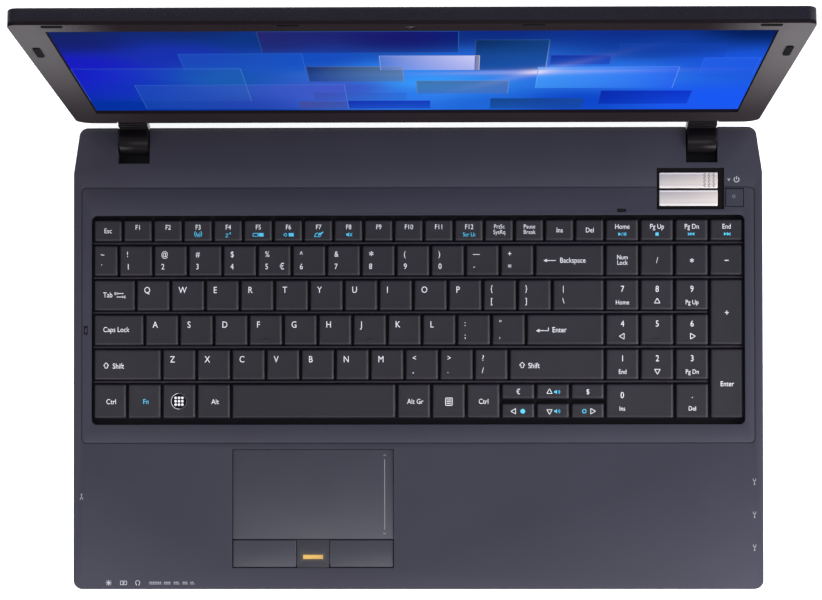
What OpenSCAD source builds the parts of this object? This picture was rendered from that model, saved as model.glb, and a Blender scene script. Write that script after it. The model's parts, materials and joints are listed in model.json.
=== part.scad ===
// An open 15.6 inch laptop computer with a numeric keypad.
// It stands on its feet: X to the right, Y to the rear, Z up, all in millimetres.
// The front and rear extremes lie equally far from Y = 0, and the feet stand on Z = 0.

/* [Base] */
// Width of the base
base_w = 378; // [370:1:455]
// Depth of the base, from its front edge to its rear edge
base_d = 253.2; // [245:0.2:305]
// Thickness of the base without its feet
base_h = 24; // [24:0.5:29]
// Thickness of the plastic walls of the base
wall = 2; // [1.6:0.2:2.4]
// Height of the lower half of the base
lower_h = 16; // [15.6:0.1:16]
// Radius of the corners seen from above
corner_r = 5; // [4:0.5:8]
// How far each side tapers in at the rear
taper_w = 3; // [0.5:0.5:4]
// Length of that taper
taper_d = 25; // [15:1:30]
// Depth of the bevel under the front edge
bevel_d = 24; // [20:1:26]
// Height of the bevel at the front edge
bevel_h = 5; // [3:0.5:6]
// Height of the rubber feet
foot_h = 2; // [1:0.5:4]
// Radius of the rubber feet
foot_r = 7; // [5:0.5:9]

/* [Lid] */
// Width of the lid at its top edge
lid_w = 377; // [365:1:450]
// How much narrower the lid is at its hinge edge
lid_taper = 5.5; // [0:0.5:6]
// Length of the lid from its hinge edge to its top edge
lid_len = 233.5; // [232:0.5:280]
// Thickness of the lid
lid_t = 8.4; // [7:0.2:9.4]
// Thickness of the back cover's skin
lid_skin = 1.6; // [1.2:0.1:2]
// Angle that the lid stands open, from closed
lid_angle = 96.5; // [80:0.5:130]
// Gap between the closed lid and the deck
closed_gap = 1; // [0.8:0.1:2]

/* [Screen] */
// Width of the picture area
screen_w = 344.2; // [300:0.2:350]
// Height of the picture area
screen_h = 193.5; // [170:0.5:196]
// Width of the bezel below the picture
chin_h = 26; // [24:0.5:30]
// Dark border of the display panel around its picture
panel_margin = 6; // [4:0.5:8]

/* [Hinges] */
// Distance between the middles of the two hinges
hinge_span = 311.8; // [290:0.2:320]
// Width of each hinge drum
drum_w = 16; // [12:0.5:20]
// Radius of each hinge drum
drum_r = 8.6; // [7:0.1:9]
// Radius of the hinge pin
pin_r = 2.2; // [1.8:0.1:2.4]
// Distance from the hinge axis to the rear edge of the base
hinge_setback = 5.7; // [4:0.1:8]
// Distance from the hinge axis down from the deck
hinge_drop = 5; // [4.8:0.1:6]
// Distance from the hinge axis to the lid's hinge edge
lid_start = 14.7; // [12:0.1:18]

/* [Keyboard] */
// Distance between the middles of two letter keys
key_pitch = 19.05; // [17:0.05:19.3]
// Depth of the function keys
f_key_d = 14; // [11:0.1:15]
// Depth of the last line, with the space bar and the arrow keys
last_line_d = 21.2; // [19:0.1:21.5]
// Space between two keycaps side by side
key_gap = 1; // [0.9:0.1:3]
// Space between two lines of keycaps
line_gap = 1.7; // [1.2:0.1:3]
// How far each side of a keycap slopes in
key_slope = 0.9; // [0.4:0.1:1.4]
// Height of a keycap
key_h = 3.2; // [2.6:0.1:3.4]
// How far a key goes down
key_travel = 2; // [1:0.1:2]
// Distance from the rear edge of the base to the rear of the number keys
keys_setback = 63.4; // [60:0.1:70]
// Width of the stem under a key
stem_w = 4; // [3:0.5:6]

/* [Touchpad] */
// Width of the touchpad and its buttons
pad_w = 88.6; // [70:0.2:100]
// Depth of the touchpad
pad_d = 49.4; // [40:0.2:52]
// Depth of the touchpad buttons
pad_button_d = 15.6; // [12:0.2:16]
// Width of the fingerprint reader between the buttons
finger_w = 18; // [14:0.5:24]
// Middle of the touchpad from the middle of the base
pad_x = -57.5; // [-80:0.5:0]
// How far a touchpad button goes down
pad_travel = 0.6; // [0.4:0.1:0.8]

/* [Disc drive] */
// Width of the disc drive
drive_w = 128; // [127:0.5:129]
// Depth of the disc drive in the base
drive_d = 126; // [125:0.5:127]
// Height of the disc drive
drive_h = 12.7; // [12:0.1:12.7]

/* [Fits] */
// Clearance around a panel or button in its opening
fit = 0.3; // [0.2:0.05:0.4]
// Clearance around a turning pin or shaft
running = 0.05; // [0.02:0.01:0.1]

/* [Hidden] */
$fn = 64;
eps = 0.01;

// Heights
floor_z = foot_h;
seam_z = floor_z + lower_h;
deck_z = floor_z + base_h;
hinge_z = deck_z - hinge_drop;
key_top_z = deck_z - 1;
key_bottom_z = key_top_z - key_h;
plate_t = 0.8;
plate_top_z = key_bottom_z - key_travel - 0.3;
inner_floor_z = floor_z + wall;

// The lid turns about the hinge axis: its own X runs along the hinge, its own Y away from the
// hinge and its own Z out of the face that holds the screen
lid_face = -(hinge_drop + closed_gap);
lid_back = lid_face - lid_t;
bezel_t = 1.8;
lid_lean = 180 - lid_angle;
lid_reach = (lid_start + lid_len) * cos(lid_lean) - lid_back * sin(lid_lean);

// Front and rear of the base, with the open lid's top edge as the rearmost point
rear_y = (base_d + hinge_setback - lid_reach) / 2;
front_y = rear_y - base_d;
hinge_y = rear_y - hinge_setback;
keys_y = rear_y - keys_setback;

// Keyboard, in key widths: the main block, then four columns of numeric keys
MAIN_U = 14.77;
TOTAL_U = MAIN_U + 4;
F_KEYS = 17;
kb_w = TOTAL_U * key_pitch;
kb_x = -kb_w / 2;
well_margin = 0.5;
well_wall = 1.5;
ledge_w = 2.5;
ledge_z = plate_top_z - plate_t - 0.7;
well_front_y = keys_y - 4 * key_pitch - last_line_d - 2.35;
well_rear_y = keys_y + f_key_d + 1.2;
LETTERS_12 = [for (i = [0:11]) 1];
NUMBER_ROW = concat([0.75], LETTERS_12, [MAIN_U - 12.75]);
TOP_ROW = concat([1.25], LETTERS_12, [MAIN_U - 13.25]);
HOME_ROW = concat([1.5], [for (i = [0:10]) 1], [MAIN_U - 12.5]);
BOTTOM_ROW = concat([2], [for (i = [0:9]) 1], [MAIN_U - 12]);
SPACE_ROW = [1, 1, 1, 1, MAIN_U - 10, 1, 1, 1];

// Touchpad, measured from the rear of the number keys
pad_rear_y = keys_y - 113.2;
pad_front_y = pad_rear_y - pad_d;
buttons_front_y = pad_front_y - pad_button_d;
pad_button_z = deck_z - 1.7;
pad_board_z = pad_button_z - pad_travel - fit;
sensor_w = 11;
sensor_d = 2.4;
sensor_y = pad_front_y - 9.6;

// Panel of metal buttons at the right rear
panel_x0 = 131.2;
panel_x1 = 168.1;
panel_y0 = keys_y + 18.1;
panel_y1 = keys_y + 40.9;
bar_x0 = 132.6;
bar_w = 32;
bar_d = 8.7;
bar_y = [keys_y + 20, keys_y + 29.7];
small_x0 = 168.7;
small_x1 = 178.8;
small_y0 = keys_y + 19.5;
small_y1 = keys_y + 29.7;

// Hinge cut-outs in the base
cut_w = drum_w + 1.3;
cut_front_y = hinge_y - 13.9;
pocket_wall = 1.5;
cut_floor_z = hinge_z - drum_r - 0.9;

// Disc drive bay at the right, with its front in the side wall
drive_y = keys_y - 52;
drive_x1 = base_w / 2 - wall;
drive_x0 = drive_x1 - drive_d;
drive_z = inner_floor_z + 0.1;
tray_w = drive_w - 2 * 0.6 - 2 * fit;
disc_r = 60.5;
shaft_r = 1.5;
eject_y = drive_y - 20;
eject_w = 10;
disc_x = drive_x0 + drive_d / 2 - 0.5;

// Battery bay at the rear, and its two latches
battery_w = 210;
battery_d = 44;
battery_front_y = rear_y - battery_d;
latch_x = 40;
latch_y = battery_front_y - 9;
latch_slot_w = 22;
latch_slot_d = 6;
latch_plate_w = 16;
latch_plate_d = 9;
thumb_w = 11;

speaker_x = 130;
speaker_y = front_y + 42;
groove_w = 0.6;

// Hard drive in front of the main board
disk_x = -55;
disk_y = keys_y - 128.3;
disk_w = 100;
disk_d = 70;

// Parts on the main circuit board
board_z = inner_floor_z + 4;
board_t = 1.6;
board_top = board_z + board_t;
port_x = -base_w / 2 + wall;
fan_x = -146;
fan_y = keys_y - 14;
fan_r = 24;
fan_hub_r = 9;
pipe_x = -109;
fan_h = 12;
fan_box = 29;
pipe_w = 6;
pipe_z0 = board_top + 2.4;
pipe_z1 = board_top + 5;
fin_x0 = port_x + 2;
fin_x1 = port_x + 12;
lan_w = 16;
vga_w = 31;
jack_ring_r = 3;
dc_r = 4;
left_usb_y = keys_y - 139.3;
right_usb_y = [for (i = [0:2]) keys_y - 131 - 18 * i];
lan_y = keys_y - 86;
vga_y = keys_y - 60;
jack_y = [keys_y - 103, keys_y - 114];
dc_y = keys_y + 30;
card_x = -134;
card_w = 27;
usb_w = 13.1;
usb_h = 5.7;
usb_d = 14;
usb_z = board_top + usb_h / 2;
jack_r = 1.75;
jack_z = board_top + 3.5;

// Screws and feet under the base, clear of what stands on its floor
screw_y = front_y + 34;
SCREWS = [[-172, screw_y], [172, screw_y], [20, screw_y], [90, screw_y], [-166, keys_y - 66],
    [172, keys_y + 20], [-118, rear_y - 6], [118, rear_y - 6]];
FEET = [for (sx = [-1, 1]) each [[sx * 168, front_y + 44], [sx * 150, rear_y - 40]]];

// Cover over the memory modules
cover_x = 15;
cover_y = keys_y - 60;
cover_w = 78;
cover_d = 72;

// Front edges of the two memory modules, and their width
MEMORY_Y = [cover_y - 27, cover_y + 9];
memory_w = 67.6;

// ---------------------------------------------------------------- shared shapes

module rounded(w, d, r) {
    square([w - 2 * r, d], center = true);
    square([w, d - 2 * r], center = true);
    for (sx = [-1, 1], sy = [-1, 1]) translate([sx * (w / 2 - r), sy * (d / 2 - r)]) circle(r);
}

// A rounded plate centred in X and Y, standing on z
module plate(x, y, z, w, d, h, r) {
    translate([x, y, z]) linear_extrude(h) rounded(w, d, r);
}

module block(x0, x1, y0, y1, z0, z1) {
    translate([x0, y0, z0]) cube([x1 - x0, y1 - y0, z1 - z0]);
}

module rod(x, y, z, r, h) {
    translate([x, y, z]) cylinder(r = r, h = h);
}

// A rod along X from x0 to x1
module rod_x(x0, x1, y, z, r) {
    translate([x0, y, z]) rotate([0, 90, 0]) cylinder(r = r, h = x1 - x0);
}

// Outline of the base, moved in by inset all round
module base_outline(inset = 0) {
    w = base_w / 2 - inset;
    r = max(corner_r - inset, 0.5);
    y0 = front_y + inset;
    y1 = rear_y - inset;
    polygon([[-w + r, y0], [w - r, y0], [w, y0 + r], [w, y1 - taper_d], [w - taper_w, y1 - r],
        [w - taper_w - r, y1], [-w + taper_w + r, y1], [-w + taper_w, y1 - r], [-w, y1 - taper_d],
        [-w, y0 + r]]);
    for (sx = [-1, 1]) {
        translate([sx * (w - r), y0 + r]) circle(r);
        translate([sx * (w - taper_w - r), y1 - r]) circle(r);
    }
}

// Slab of the base's outline between two heights
module base_slab(z0, z1, inset = 0) {
    translate([0, 0, z0]) linear_extrude(z1 - z0) base_outline(inset);
}

// Prism under the front edge: the bevel itself, or raised by a wall thickness its inner side
module front_bevel(raise = 0) {
    translate([-base_w, front_y, floor_z]) rotate([90, 0, 90]) linear_extrude(2 * base_w)
        polygon([[-1, -1], [bevel_d + 1, -1], [bevel_d, raise], [0, bevel_h + raise],
            [-1, bevel_h + raise]]);
}

module both_hinges() {
    for (sx = [-1, 1]) translate([sx * hinge_span / 2, 0, 0]) mirror([sx < 0 ? 1 : 0, 0, 0]) children();
}

// Space that a hinge drum turns in, open to the rear and to the top
module hinge_cut() {
    block(-cut_w / 2, cut_w / 2, cut_front_y, rear_y + 5, cut_floor_z, deck_z + 5);
}

module hinge_pocket(z0, z1) {
    w = cut_w / 2 + pocket_wall;
    block(-w, w, cut_front_y - pocket_wall, rear_y - 0.2, z0, z1);
}

// Rows of keys: total of the first n widths
function sum(v, n, i = 0) = i >= n ? 0 : v[i] + sum(v, n, i + 1);

// One keycap with its stem, from its cell's left rear corner
module key(x, y, w, d) {
    cw = w - key_gap;
    cd = d - line_gap;
    stem_h = key_travel + 0.6;
    translate([x + w / 2, y - d / 2, key_bottom_z]) {
        intersection() {
            rotate([90, 0, 0]) linear_extrude(cd + 1, center = true) cap_profile(cw);
            rotate([90, 0, 90]) linear_extrude(cw + 1, center = true) cap_profile(cd);
        }
        translate([-stem_w / 2, -stem_w / 2, -stem_h]) cube([stem_w, stem_w, stem_h + key_h / 2]);
    }
}

module cap_profile(w) {
    polygon([[-w / 2, 0], [w / 2, 0], [w / 2, key_h * 0.35], [w / 2 - key_slope, key_h],
        [-w / 2 + key_slope, key_h], [-w / 2, key_h * 0.35]]);
}

// Depth of a cell that starts on the given line and covers down lines; the last line is the deepest
function cell_d(line, down = 1) =
    down * key_pitch + (line + down > 4 ? last_line_d - key_pitch : 0);

// Keys first to last of a row of widths, whose rear edge is line rows below the number row's
module key_row(widths, line, first, last) {
    for (i = [first:last])
        key(kb_x + sum(widths, i) * key_pitch, keys_y - line * key_pitch,
            widths[i] * key_pitch, cell_d(line));
}

// One key of the numeric block: column and line of its rear left cell, and how many cells it covers
module numpad_key(column, line, across = 1, down = 1) {
    key(kb_x + (MAIN_U + column) * key_pitch, keys_y - line * key_pitch,
        across * key_pitch, cell_d(line, down));
}

// Square guide hole for the stem of a key with the given cell
module guide(x, y, w, d) {
    s = stem_w + 2 * fit;
    translate([x + w / 2 - s / 2, y - d / 2 - s / 2, plate_top_z - 5]) cube([s, s, 10]);
}

module guide_row(widths, line) {
    for (i = [0:len(widths) - 1])
        guide(kb_x + sum(widths, i) * key_pitch, keys_y - line * key_pitch,
            widths[i] * key_pitch, cell_d(line));
}

module numpad_guide(column, line, across = 1, down = 1) {
    guide(kb_x + (MAIN_U + column) * key_pitch, keys_y - line * key_pitch,
        across * key_pitch, cell_d(line, down));
}

// Cells of the function row: x, width
function f_cell(i) = i < F_KEYS
    ? [kb_x + i * MAIN_U / F_KEYS * key_pitch, MAIN_U / F_KEYS * key_pitch]
    : [kb_x + (MAIN_U + i - F_KEYS) * key_pitch, key_pitch];

// Arrow keys: three columns of half-height cells on the last line
function arrow_cell(i) = [kb_x + (MAIN_U - 3 + i % 3) * key_pitch,
    keys_y - 4 * key_pitch - floor(i / 3) * last_line_d / 2];

// ---------------------------------------------------------------- base

module port_holes() {
    // left side
    block(-base_w, port_x + eps, left_usb_y - usb_w / 2 - fit, left_usb_y + usb_w / 2 + fit,
        usb_z - usb_h / 2 - fit, usb_z + usb_h / 2 + fit);
    block(-base_w, port_x + eps, lan_y - lan_w / 2 - fit, lan_y + lan_w / 2 + fit,
        floor_z + 2.2, seam_z - 1.8);
    block(-base_w, port_x + eps, vga_y - vga_w / 2 - fit, vga_y + vga_w / 2 + fit,
        floor_z + 3.1, seam_z - 2.1);
    for (y = jack_y) rod_x(-base_w, port_x + eps, y, jack_z, jack_ring_r + fit);
    rod_x(-base_w, port_x + eps, dc_y, jack_z, dc_r + fit);
    for (i = [0:9]) block(-base_w, port_x + eps, fan_y - 26 + 5.2 * i, fan_y - 23 + 5.2 * i,
        floor_z + 4, seam_z - 3);
    // right side
    for (y = right_usb_y) block(base_w / 2 - wall - eps, base_w, y - usb_w / 2 - fit, y + usb_w / 2 + fit,
        usb_z - usb_h / 2 - fit, usb_z + usb_h / 2 + fit);
    block(drive_x1 - eps, base_w, drive_y - drive_w / 2 - fit, drive_y + drive_w / 2 + fit,
        drive_z - eps, drive_z + drive_h + fit);
    block(base_w / 2 - 8, base_w, keys_y + 28.5, keys_y + 35.5, floor_z + 6, floor_z + 9);
    // card slot in the front wall
    block(card_x - card_w / 2, card_x + card_w / 2, front_y - 5, front_y + wall + eps,
        board_top + 0.4, board_top + 4.2);
}

module bottom_case() color("#2b2b31") difference() {
    union() {
        difference() {
            base_slab(floor_z, seam_z);
            difference() {
                base_slab(inner_floor_z, seam_z + 1, wall);
                front_bevel(wall + 0.1);
                both_hinges() hinge_pocket(0, seam_z + 2);
                // walls of the battery bay
                block(-battery_w / 2 - wall - fit, battery_w / 2 + wall + fit, battery_front_y - wall - fit,
                    rear_y, 0, seam_z + 2);
                // block behind the lock slot
                block(base_w / 2 - 10, base_w / 2, keys_y + 25, keys_y + 39, 0, seam_z - 2);
            }
        }
        for (p = SCREWS) rod(p[0], p[1], inner_floor_z - eps, 4, 4);
    }
    front_bevel();
    both_hinges() hinge_cut();
    block(-battery_w / 2 - fit, battery_w / 2 + fit, battery_front_y - fit, rear_y + 5, 0, seam_z + 2);
    port_holes();
    // opening for the memory cover, with a ledge around it
    plate(cover_x, cover_y, floor_z - 1, cover_w + 2 * fit, cover_d + 2 * fit, wall / 2 + 1, 3);
    plate(cover_x, cover_y, floor_z - 1, cover_w - 6, cover_d - 6, wall + 2, 2);
    // screws
    for (p = SCREWS) {
        rod(p[0], p[1], floor_z - 1, 1.25, 10);
        rod(p[0], p[1], floor_z - 1, 2.6, 2.2);
    }
    for (sx = [-1, 1]) block(sx * latch_x - latch_slot_w / 2, sx * latch_x + latch_slot_w / 2,
        latch_y - latch_slot_d / 2, latch_y + latch_slot_d / 2, 0, inner_floor_z + eps);
    // air slots under the fan, and sound slots under the speakers
    for (i = [0:7]) plate(fan_x, fan_y - 17.5 + 5 * i, floor_z - 1, 30, 2.4, wall + 2, 1.1);
    for (sx = [-1, 1], i = [0:7]) plate(sx * (speaker_x - 17.5 + 5 * i), speaker_y,
        floor_z - 1, 2, 11, wall + 2, 0.9);
}

module top_case() color("#3f3f49") difference() {
    union() {
        difference() {
            base_slab(seam_z, deck_z);
            base_slab(seam_z - 1, deck_z - wall, wall);
        }
        // walls and ledge that hold the keyboard
        difference() {
            block(kb_x - well_margin - well_wall, -kb_x + well_margin + well_wall,
                well_front_y - well_wall, well_rear_y + well_wall, ledge_z, deck_z - 1);
            block(kb_x + ledge_w, -kb_x - ledge_w, well_front_y + 2, well_rear_y - 2, 0, deck_z);
        }
        both_hinges() hinge_pocket(seam_z, deck_z - 1);
    }
    // keyboard well
    plate(0, (well_front_y + well_rear_y) / 2, plate_top_z - plate_t, kb_w + 2 * well_margin,
        well_rear_y - well_front_y, 10, 3);
    both_hinges() hinge_cut();
    both_hinges() rod_x(0, cut_w / 2 + 5, hinge_y, hinge_z, pin_r + running);
    // groove around the keyboard panel
    groove();
    // battery opening in the rear wall
    block(-battery_w / 2 - fit, battery_w / 2 + fit, rear_y - wall - 1, rear_y + 1,
        seam_z - 1, deck_z - wall);
    // touchpad and its buttons
    block(pad_x - pad_w / 2, pad_x + pad_w / 2, buttons_front_y, pad_rear_y, seam_z, deck_z + 1);
    // panel of metal buttons, and the small key beside it
    block(panel_x0, panel_x1, panel_y0, panel_y1, seam_z, deck_z + 1);
    block(small_x0, small_x1, small_y0, small_y1, seam_z, deck_z + 1);
    // microphone slot
    block(109.5, 114.4, keys_y + 16.7, keys_y + 18.6, deck_z - 0.6, deck_z + 1);
    // mark in the left margin
    block(-183.5, -181.3, keys_y - 50.1, keys_y - 45.4, deck_z - 0.4, deck_z + 1);
}

// Shallow groove around the panel that holds the keyboard
module groove() {
    w = base_w - 8.4;
    y0 = keys_y - 110.1;
    y1 = keys_y + 30.7;
    translate([0, (y0 + y1) / 2, deck_z - 0.5]) linear_extrude(2) difference() {
        rounded(w, y1 - y0, 3);
        rounded(w - 2 * groove_w, y1 - y0 - 2 * groove_w, 2.4);
    }
}

module keyboard_plate() color("#232327") difference() {
    plate(0, (well_front_y + well_rear_y) / 2, plate_top_z - plate_t, kb_w + 2 * well_margin - 2 * fit,
        well_rear_y - well_front_y - 2 * fit, plate_t, 2.8);
    for (i = [0:F_KEYS + 3]) guide(f_cell(i)[0], keys_y + f_key_d, f_cell(i)[1], f_key_d);
    guide_row(NUMBER_ROW, 0);
    guide_row(TOP_ROW, 1);
    guide_row(HOME_ROW, 2);
    guide_row(BOTTOM_ROW, 3);
    guide_row(SPACE_ROW, 4);
    for (i = [0:5]) guide(arrow_cell(i)[0], arrow_cell(i)[1], key_pitch, last_line_d / 2);
    for (c = [0:2], l = [0:3]) numpad_guide(c, l);
    numpad_guide(3, 0);
    numpad_guide(3, 1, 1, 2);
    numpad_guide(3, 3, 1, 2);
    numpad_guide(0, 4, 2);
    numpad_guide(2, 4);
}

// Black surround of the two metal buttons, with a recess that they go down into
module button_panel() color("#18181c") difference() {
    block(panel_x0 + fit / 2, panel_x1 - fit / 2, panel_y0 + fit / 2, panel_y1 - fit / 2,
        deck_z - 4, deck_z - 0.8);
    block(bar_x0 - fit, bar_x0 + bar_w + fit, bar_y[0] - fit, bar_y[1] + bar_d + fit, deck_z - 3.1, deck_z);
}

module touchpad_plate() color("#4a4a53") {
    block(pad_x - pad_w / 2 + fit / 2, pad_x + pad_w / 2 - fit / 2, pad_front_y + fit / 2,
        pad_rear_y - fit / 2, deck_z - 1.8, deck_z - 0.6);
    // circuit board under the touchpad
    block(pad_x - pad_w / 2 + 3, pad_x + pad_w / 2 - 3, buttons_front_y + 2, pad_rear_y - 2,
        pad_board_z - 1.4, pad_board_z);
    for (sx = [-1, 1], y = [pad_front_y + 4, pad_rear_y - 8])
        block(pad_x + sx * 36 - 2, pad_x + sx * 36 + 2, y, y + 4, pad_board_z - 0.1, deck_z - 1.7);
}

module fingerprint_bezel() color("#2a2226") difference() {
    block(pad_x - finger_w / 2 + fit / 2, pad_x + finger_w / 2 - fit / 2, buttons_front_y + fit / 2,
        pad_front_y - fit / 2, pad_board_z, deck_z - 0.4);
    block(pad_x - sensor_w / 2 - 0.1, pad_x + sensor_w / 2 + 0.1, sensor_y - sensor_d / 2 - 0.1,
        sensor_y + sensor_d / 2 + 0.1, deck_z - 1.6, deck_z);
}

module fingerprint_sensor() color("#c9a24a")
    block(pad_x - sensor_w / 2, pad_x + sensor_w / 2, sensor_y - sensor_d / 2, sensor_y + sensor_d / 2,
        deck_z - 1.6, deck_z - 0.7);

module rubber_feet() color("#1a1a1c")
    for (p = FEET) rod(p[0], p[1], 0, foot_r, foot_h);

module case_screws() color("#8a8a90")
    for (p = SCREWS) {
        difference() {
            rod(p[0], p[1], floor_z + 0.1, 2.4, 1.1);
            block(p[0] - 1.5, p[0] + 1.5, p[1] - 0.3, p[1] + 0.3, 0, floor_z + 0.6);
            block(p[0] - 0.3, p[0] + 0.3, p[1] - 1.5, p[1] + 1.5, 0, floor_z + 0.6);
        }
        rod(p[0], p[1], floor_z + 1.1, 1.2, 4.5);
    }

module memory_cover() color("#2b2b31") difference() {
    plate(cover_x, cover_y, floor_z, cover_w, cover_d, wall / 2, 2.7);
    for (i = [-4:4]) plate(cover_x + 6 * i, cover_y, floor_z - 1, 2.4, 34, wall + 2, 1.1);
}

// A battery latch: a plate inside the floor and a ribbed thumb pad in its slot
module latch(x) {
    y = latch_y;
    block(x - latch_plate_w / 2, x + latch_plate_w / 2, y - latch_plate_d / 2, y + latch_plate_d / 2,
        inner_floor_z + 0.1, inner_floor_z + 1.3);
    block(x - thumb_w / 2, x + thumb_w / 2, y - latch_slot_d / 2 + fit, y + latch_slot_d / 2 - fit,
        floor_z + 0.3, inner_floor_z + 0.5);
    for (i = [-1:1]) block(x + 2.4 * i - 0.4, x + 2.4 * i + 0.4, y - 2, y + 2, floor_z, floor_z + 0.4);
}

module battery_latch_left() color("#1d1d20") latch(-latch_x - 5);

module battery_latch_right() color("#1d1d20") latch(latch_x + 5);

module battery_pack() color("#232327") {
    block(-battery_w / 2, battery_w / 2, battery_front_y, rear_y, floor_z, deck_z - wall - 0.2);
}

// ---------------------------------------------------------------- inside the base

module motherboard() color("#1f5a35") difference() {
    union() {
        block(port_x + 12, drive_x0 - 2, keys_y - 90, keys_y - 45, board_z, board_top);
        block(fan_x + 32, drive_x0 - 2, keys_y - 46, battery_front_y - 4, board_z, board_top);
        block(port_x + 1, port_x + 32, keys_y - 148, keys_y - 89, board_z, board_top);
        // processor socket, chipset and two memory sockets
        block(-92, -56, keys_y - 46, keys_y - 10, board_top, board_top + 2.2);
        block(-40, -14, keys_y - 44, keys_y - 18, board_top, board_top + 1.4);
        for (y = MEMORY_Y) block(cover_x - 35, cover_x + 35, y - 5, y, board_z - 3.6, board_z);
        // wireless card and its holder
        block(-40, -10, keys_y - 84, keys_y - 57, board_top + 1, board_top + 2);
        block(-40, -10, keys_y - 89, keys_y - 83, board_top, board_top + 3);
        // coin cell in its holder
        rod(20, keys_y - 70, board_top, 10, 3.2);
    }
    // notches for the tall sockets
    block(port_x, port_x + 14 + fit, lan_y - lan_w / 2 - fit, lan_y + lan_w / 2 + fit,
        board_z - 1, board_top + 1);
    block(port_x, port_x + 10 + fit, vga_y - vga_w / 2 - fit, vga_y + vga_w / 2 + fit,
        board_z - 1, board_top + 1);
}

module memory_modules() color("#2e7a46") for (y = MEMORY_Y) {
    block(cover_x - memory_w / 2, cover_x + memory_w / 2, y + 0.2, y + 24, board_z - 2.4, board_z - 1.2);
    for (i = [0:3]) block(cover_x - 31 + 16.5 * i, cover_x - 19 + 16.5 * i, y + 7, y + 18,
        board_z - 3.4, board_z - 2.4);
}

// Copper block, heat pipe and cooling fins
module heatsink() color("#b87333") {
    block(-90, -58, keys_y - 44, keys_y - 12, board_top + 2.2, board_top + 4.2);
    // the pipe runs round the fan's housing to the fins
    block(fan_x - 31, pipe_x, fan_y + 30, fan_y + 30 + pipe_w, pipe_z0, pipe_z1);
    block(pipe_x - 5.5, pipe_x, fan_y - 19, fan_y + 30 + pipe_w, pipe_z0, pipe_z1);
    block(pipe_x - 1, -80, fan_y - 19, fan_y - 19 + pipe_w, pipe_z0, pipe_z1);
    for (i = [0:23]) block(fin_x0, fin_x1, fan_y - 26 + 2.2 * i, fan_y - 25.4 + 2.2 * i,
        inner_floor_z + 0.4, inner_floor_z + fan_h);
    block(fin_x0, fin_x1, fan_y - 26, fan_y + 30 + pipe_w,
        inner_floor_z + fan_h - 1.2, inner_floor_z + fan_h);
    block(fin_x0, fan_x - 30, fan_y + 30, fan_y + 30 + pipe_w, pipe_z0, inner_floor_z + fan_h);
}

module fan_housing() color("#2c2c30") difference() {
    block(fan_x - fan_box, fan_x + fan_box, fan_y - fan_box, fan_y + fan_box,
        inner_floor_z + 0.1, inner_floor_z + fan_h);
    rod(fan_x, fan_y, inner_floor_z + 1.1, fan_r + 2, fan_h - 2.1);
    block(fan_x - 31, fan_x, fan_y - 24, fan_y + 24, inner_floor_z + 1.1, inner_floor_z + fan_h - 1);
    rod(fan_x, fan_y, inner_floor_z + fan_h - 2, 17, 4);
    rod(fan_x, fan_y, inner_floor_z - 1, shaft_r + running, 4);
    for (i = [0:4]) rotate_about(fan_x, fan_y, 72 * i + 36)
        block(fan_x + 6, fan_x + 18, fan_y - 4, fan_y + 4, inner_floor_z - 1, inner_floor_z + 2);
}

module rotate_about(x, y, a) {
    translate([x, y, 0]) rotate(a) translate([-x, -y, 0]) children();
}

module fan_impeller() color("#3a3a40") {
    z = inner_floor_z + 1.6;
    rod(fan_x, fan_y, z, fan_hub_r, fan_h - 3.4);
    rod(fan_x, fan_y, inner_floor_z + 0.2, shaft_r, 4);
    rod(fan_x, fan_y, z, fan_r, 0.8);
    for (i = [0:14]) rotate_about(fan_x, fan_y, 24 * i)
        block(fan_x + fan_hub_r - 2, fan_x + fan_r - 0.5, fan_y - 0.4, fan_y + 0.4, z + 0.3, z + fan_h - 5);
}

module hard_drive() color("#9a9aa0") {
    block(disk_x - disk_w / 2, disk_x + disk_w / 2, disk_y - disk_d / 2, disk_y + disk_d / 2,
        inner_floor_z + 0.1, inner_floor_z + 9);
    plate(disk_x - 7, disk_y, inner_floor_z + 8.9, 62, 60, 0.6, 12);
}

module speakers() color("#26262a") for (sx = [-1, 1]) {
    plate(sx * speaker_x, speaker_y, inner_floor_z + 0.1, 43, 16, 8, 3);
    for (s = [-1, 1]) plate(sx * speaker_x + s * 12, speaker_y, inner_floor_z + 8, 14, 12, 0.6, 5);
}

module usb_port(y, dir) {
    x = dir * (base_w / 2 - 0.6);
    difference() {
        block(min(x, x - dir * usb_d), max(x, x - dir * usb_d), y - usb_w / 2, y + usb_w / 2,
            usb_z - usb_h / 2, usb_z + usb_h / 2);
        block(min(x + dir, x - dir * (usb_d - 3)), max(x + dir, x - dir * (usb_d - 3)),
            y - usb_w / 2 + 0.4, y + usb_w / 2 - 0.4, usb_z - usb_h / 2 + 0.4, usb_z + usb_h / 2 - 0.4);
    }
    // contact tongue
    block(min(x - dir, x - dir * usb_d), max(x - dir, x - dir * usb_d),
        y - usb_w / 2 + 1.2, y + usb_w / 2 - 1.2, usb_z + 0.2, usb_z + 2);
}

module usb_ports() color("#a8a8ae") {
    usb_port(left_usb_y, -1);
    for (y = right_usb_y) usb_port(y, 1);
    // small circuit board that carries the ports on the right
    block(base_w / 2 - wall - 34, base_w / 2 - wall - 0.5, right_usb_y[2] - 9, right_usb_y[0] + 8,
        board_z, board_top);
}

module lan_port() color("#b4b4ba") difference() {
    block(port_x - 1.4, port_x + 14, lan_y - lan_w / 2, lan_y + lan_w / 2, floor_z + 2.4, floor_z + 14);
    block(port_x - 3, port_x + 10, lan_y - 5.9, lan_y + 5.9, floor_z + 4, floor_z + 11);
    block(port_x - 3, port_x + 10, lan_y - 3, lan_y + 3, floor_z + 4, floor_z + 12.6);
}

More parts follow.
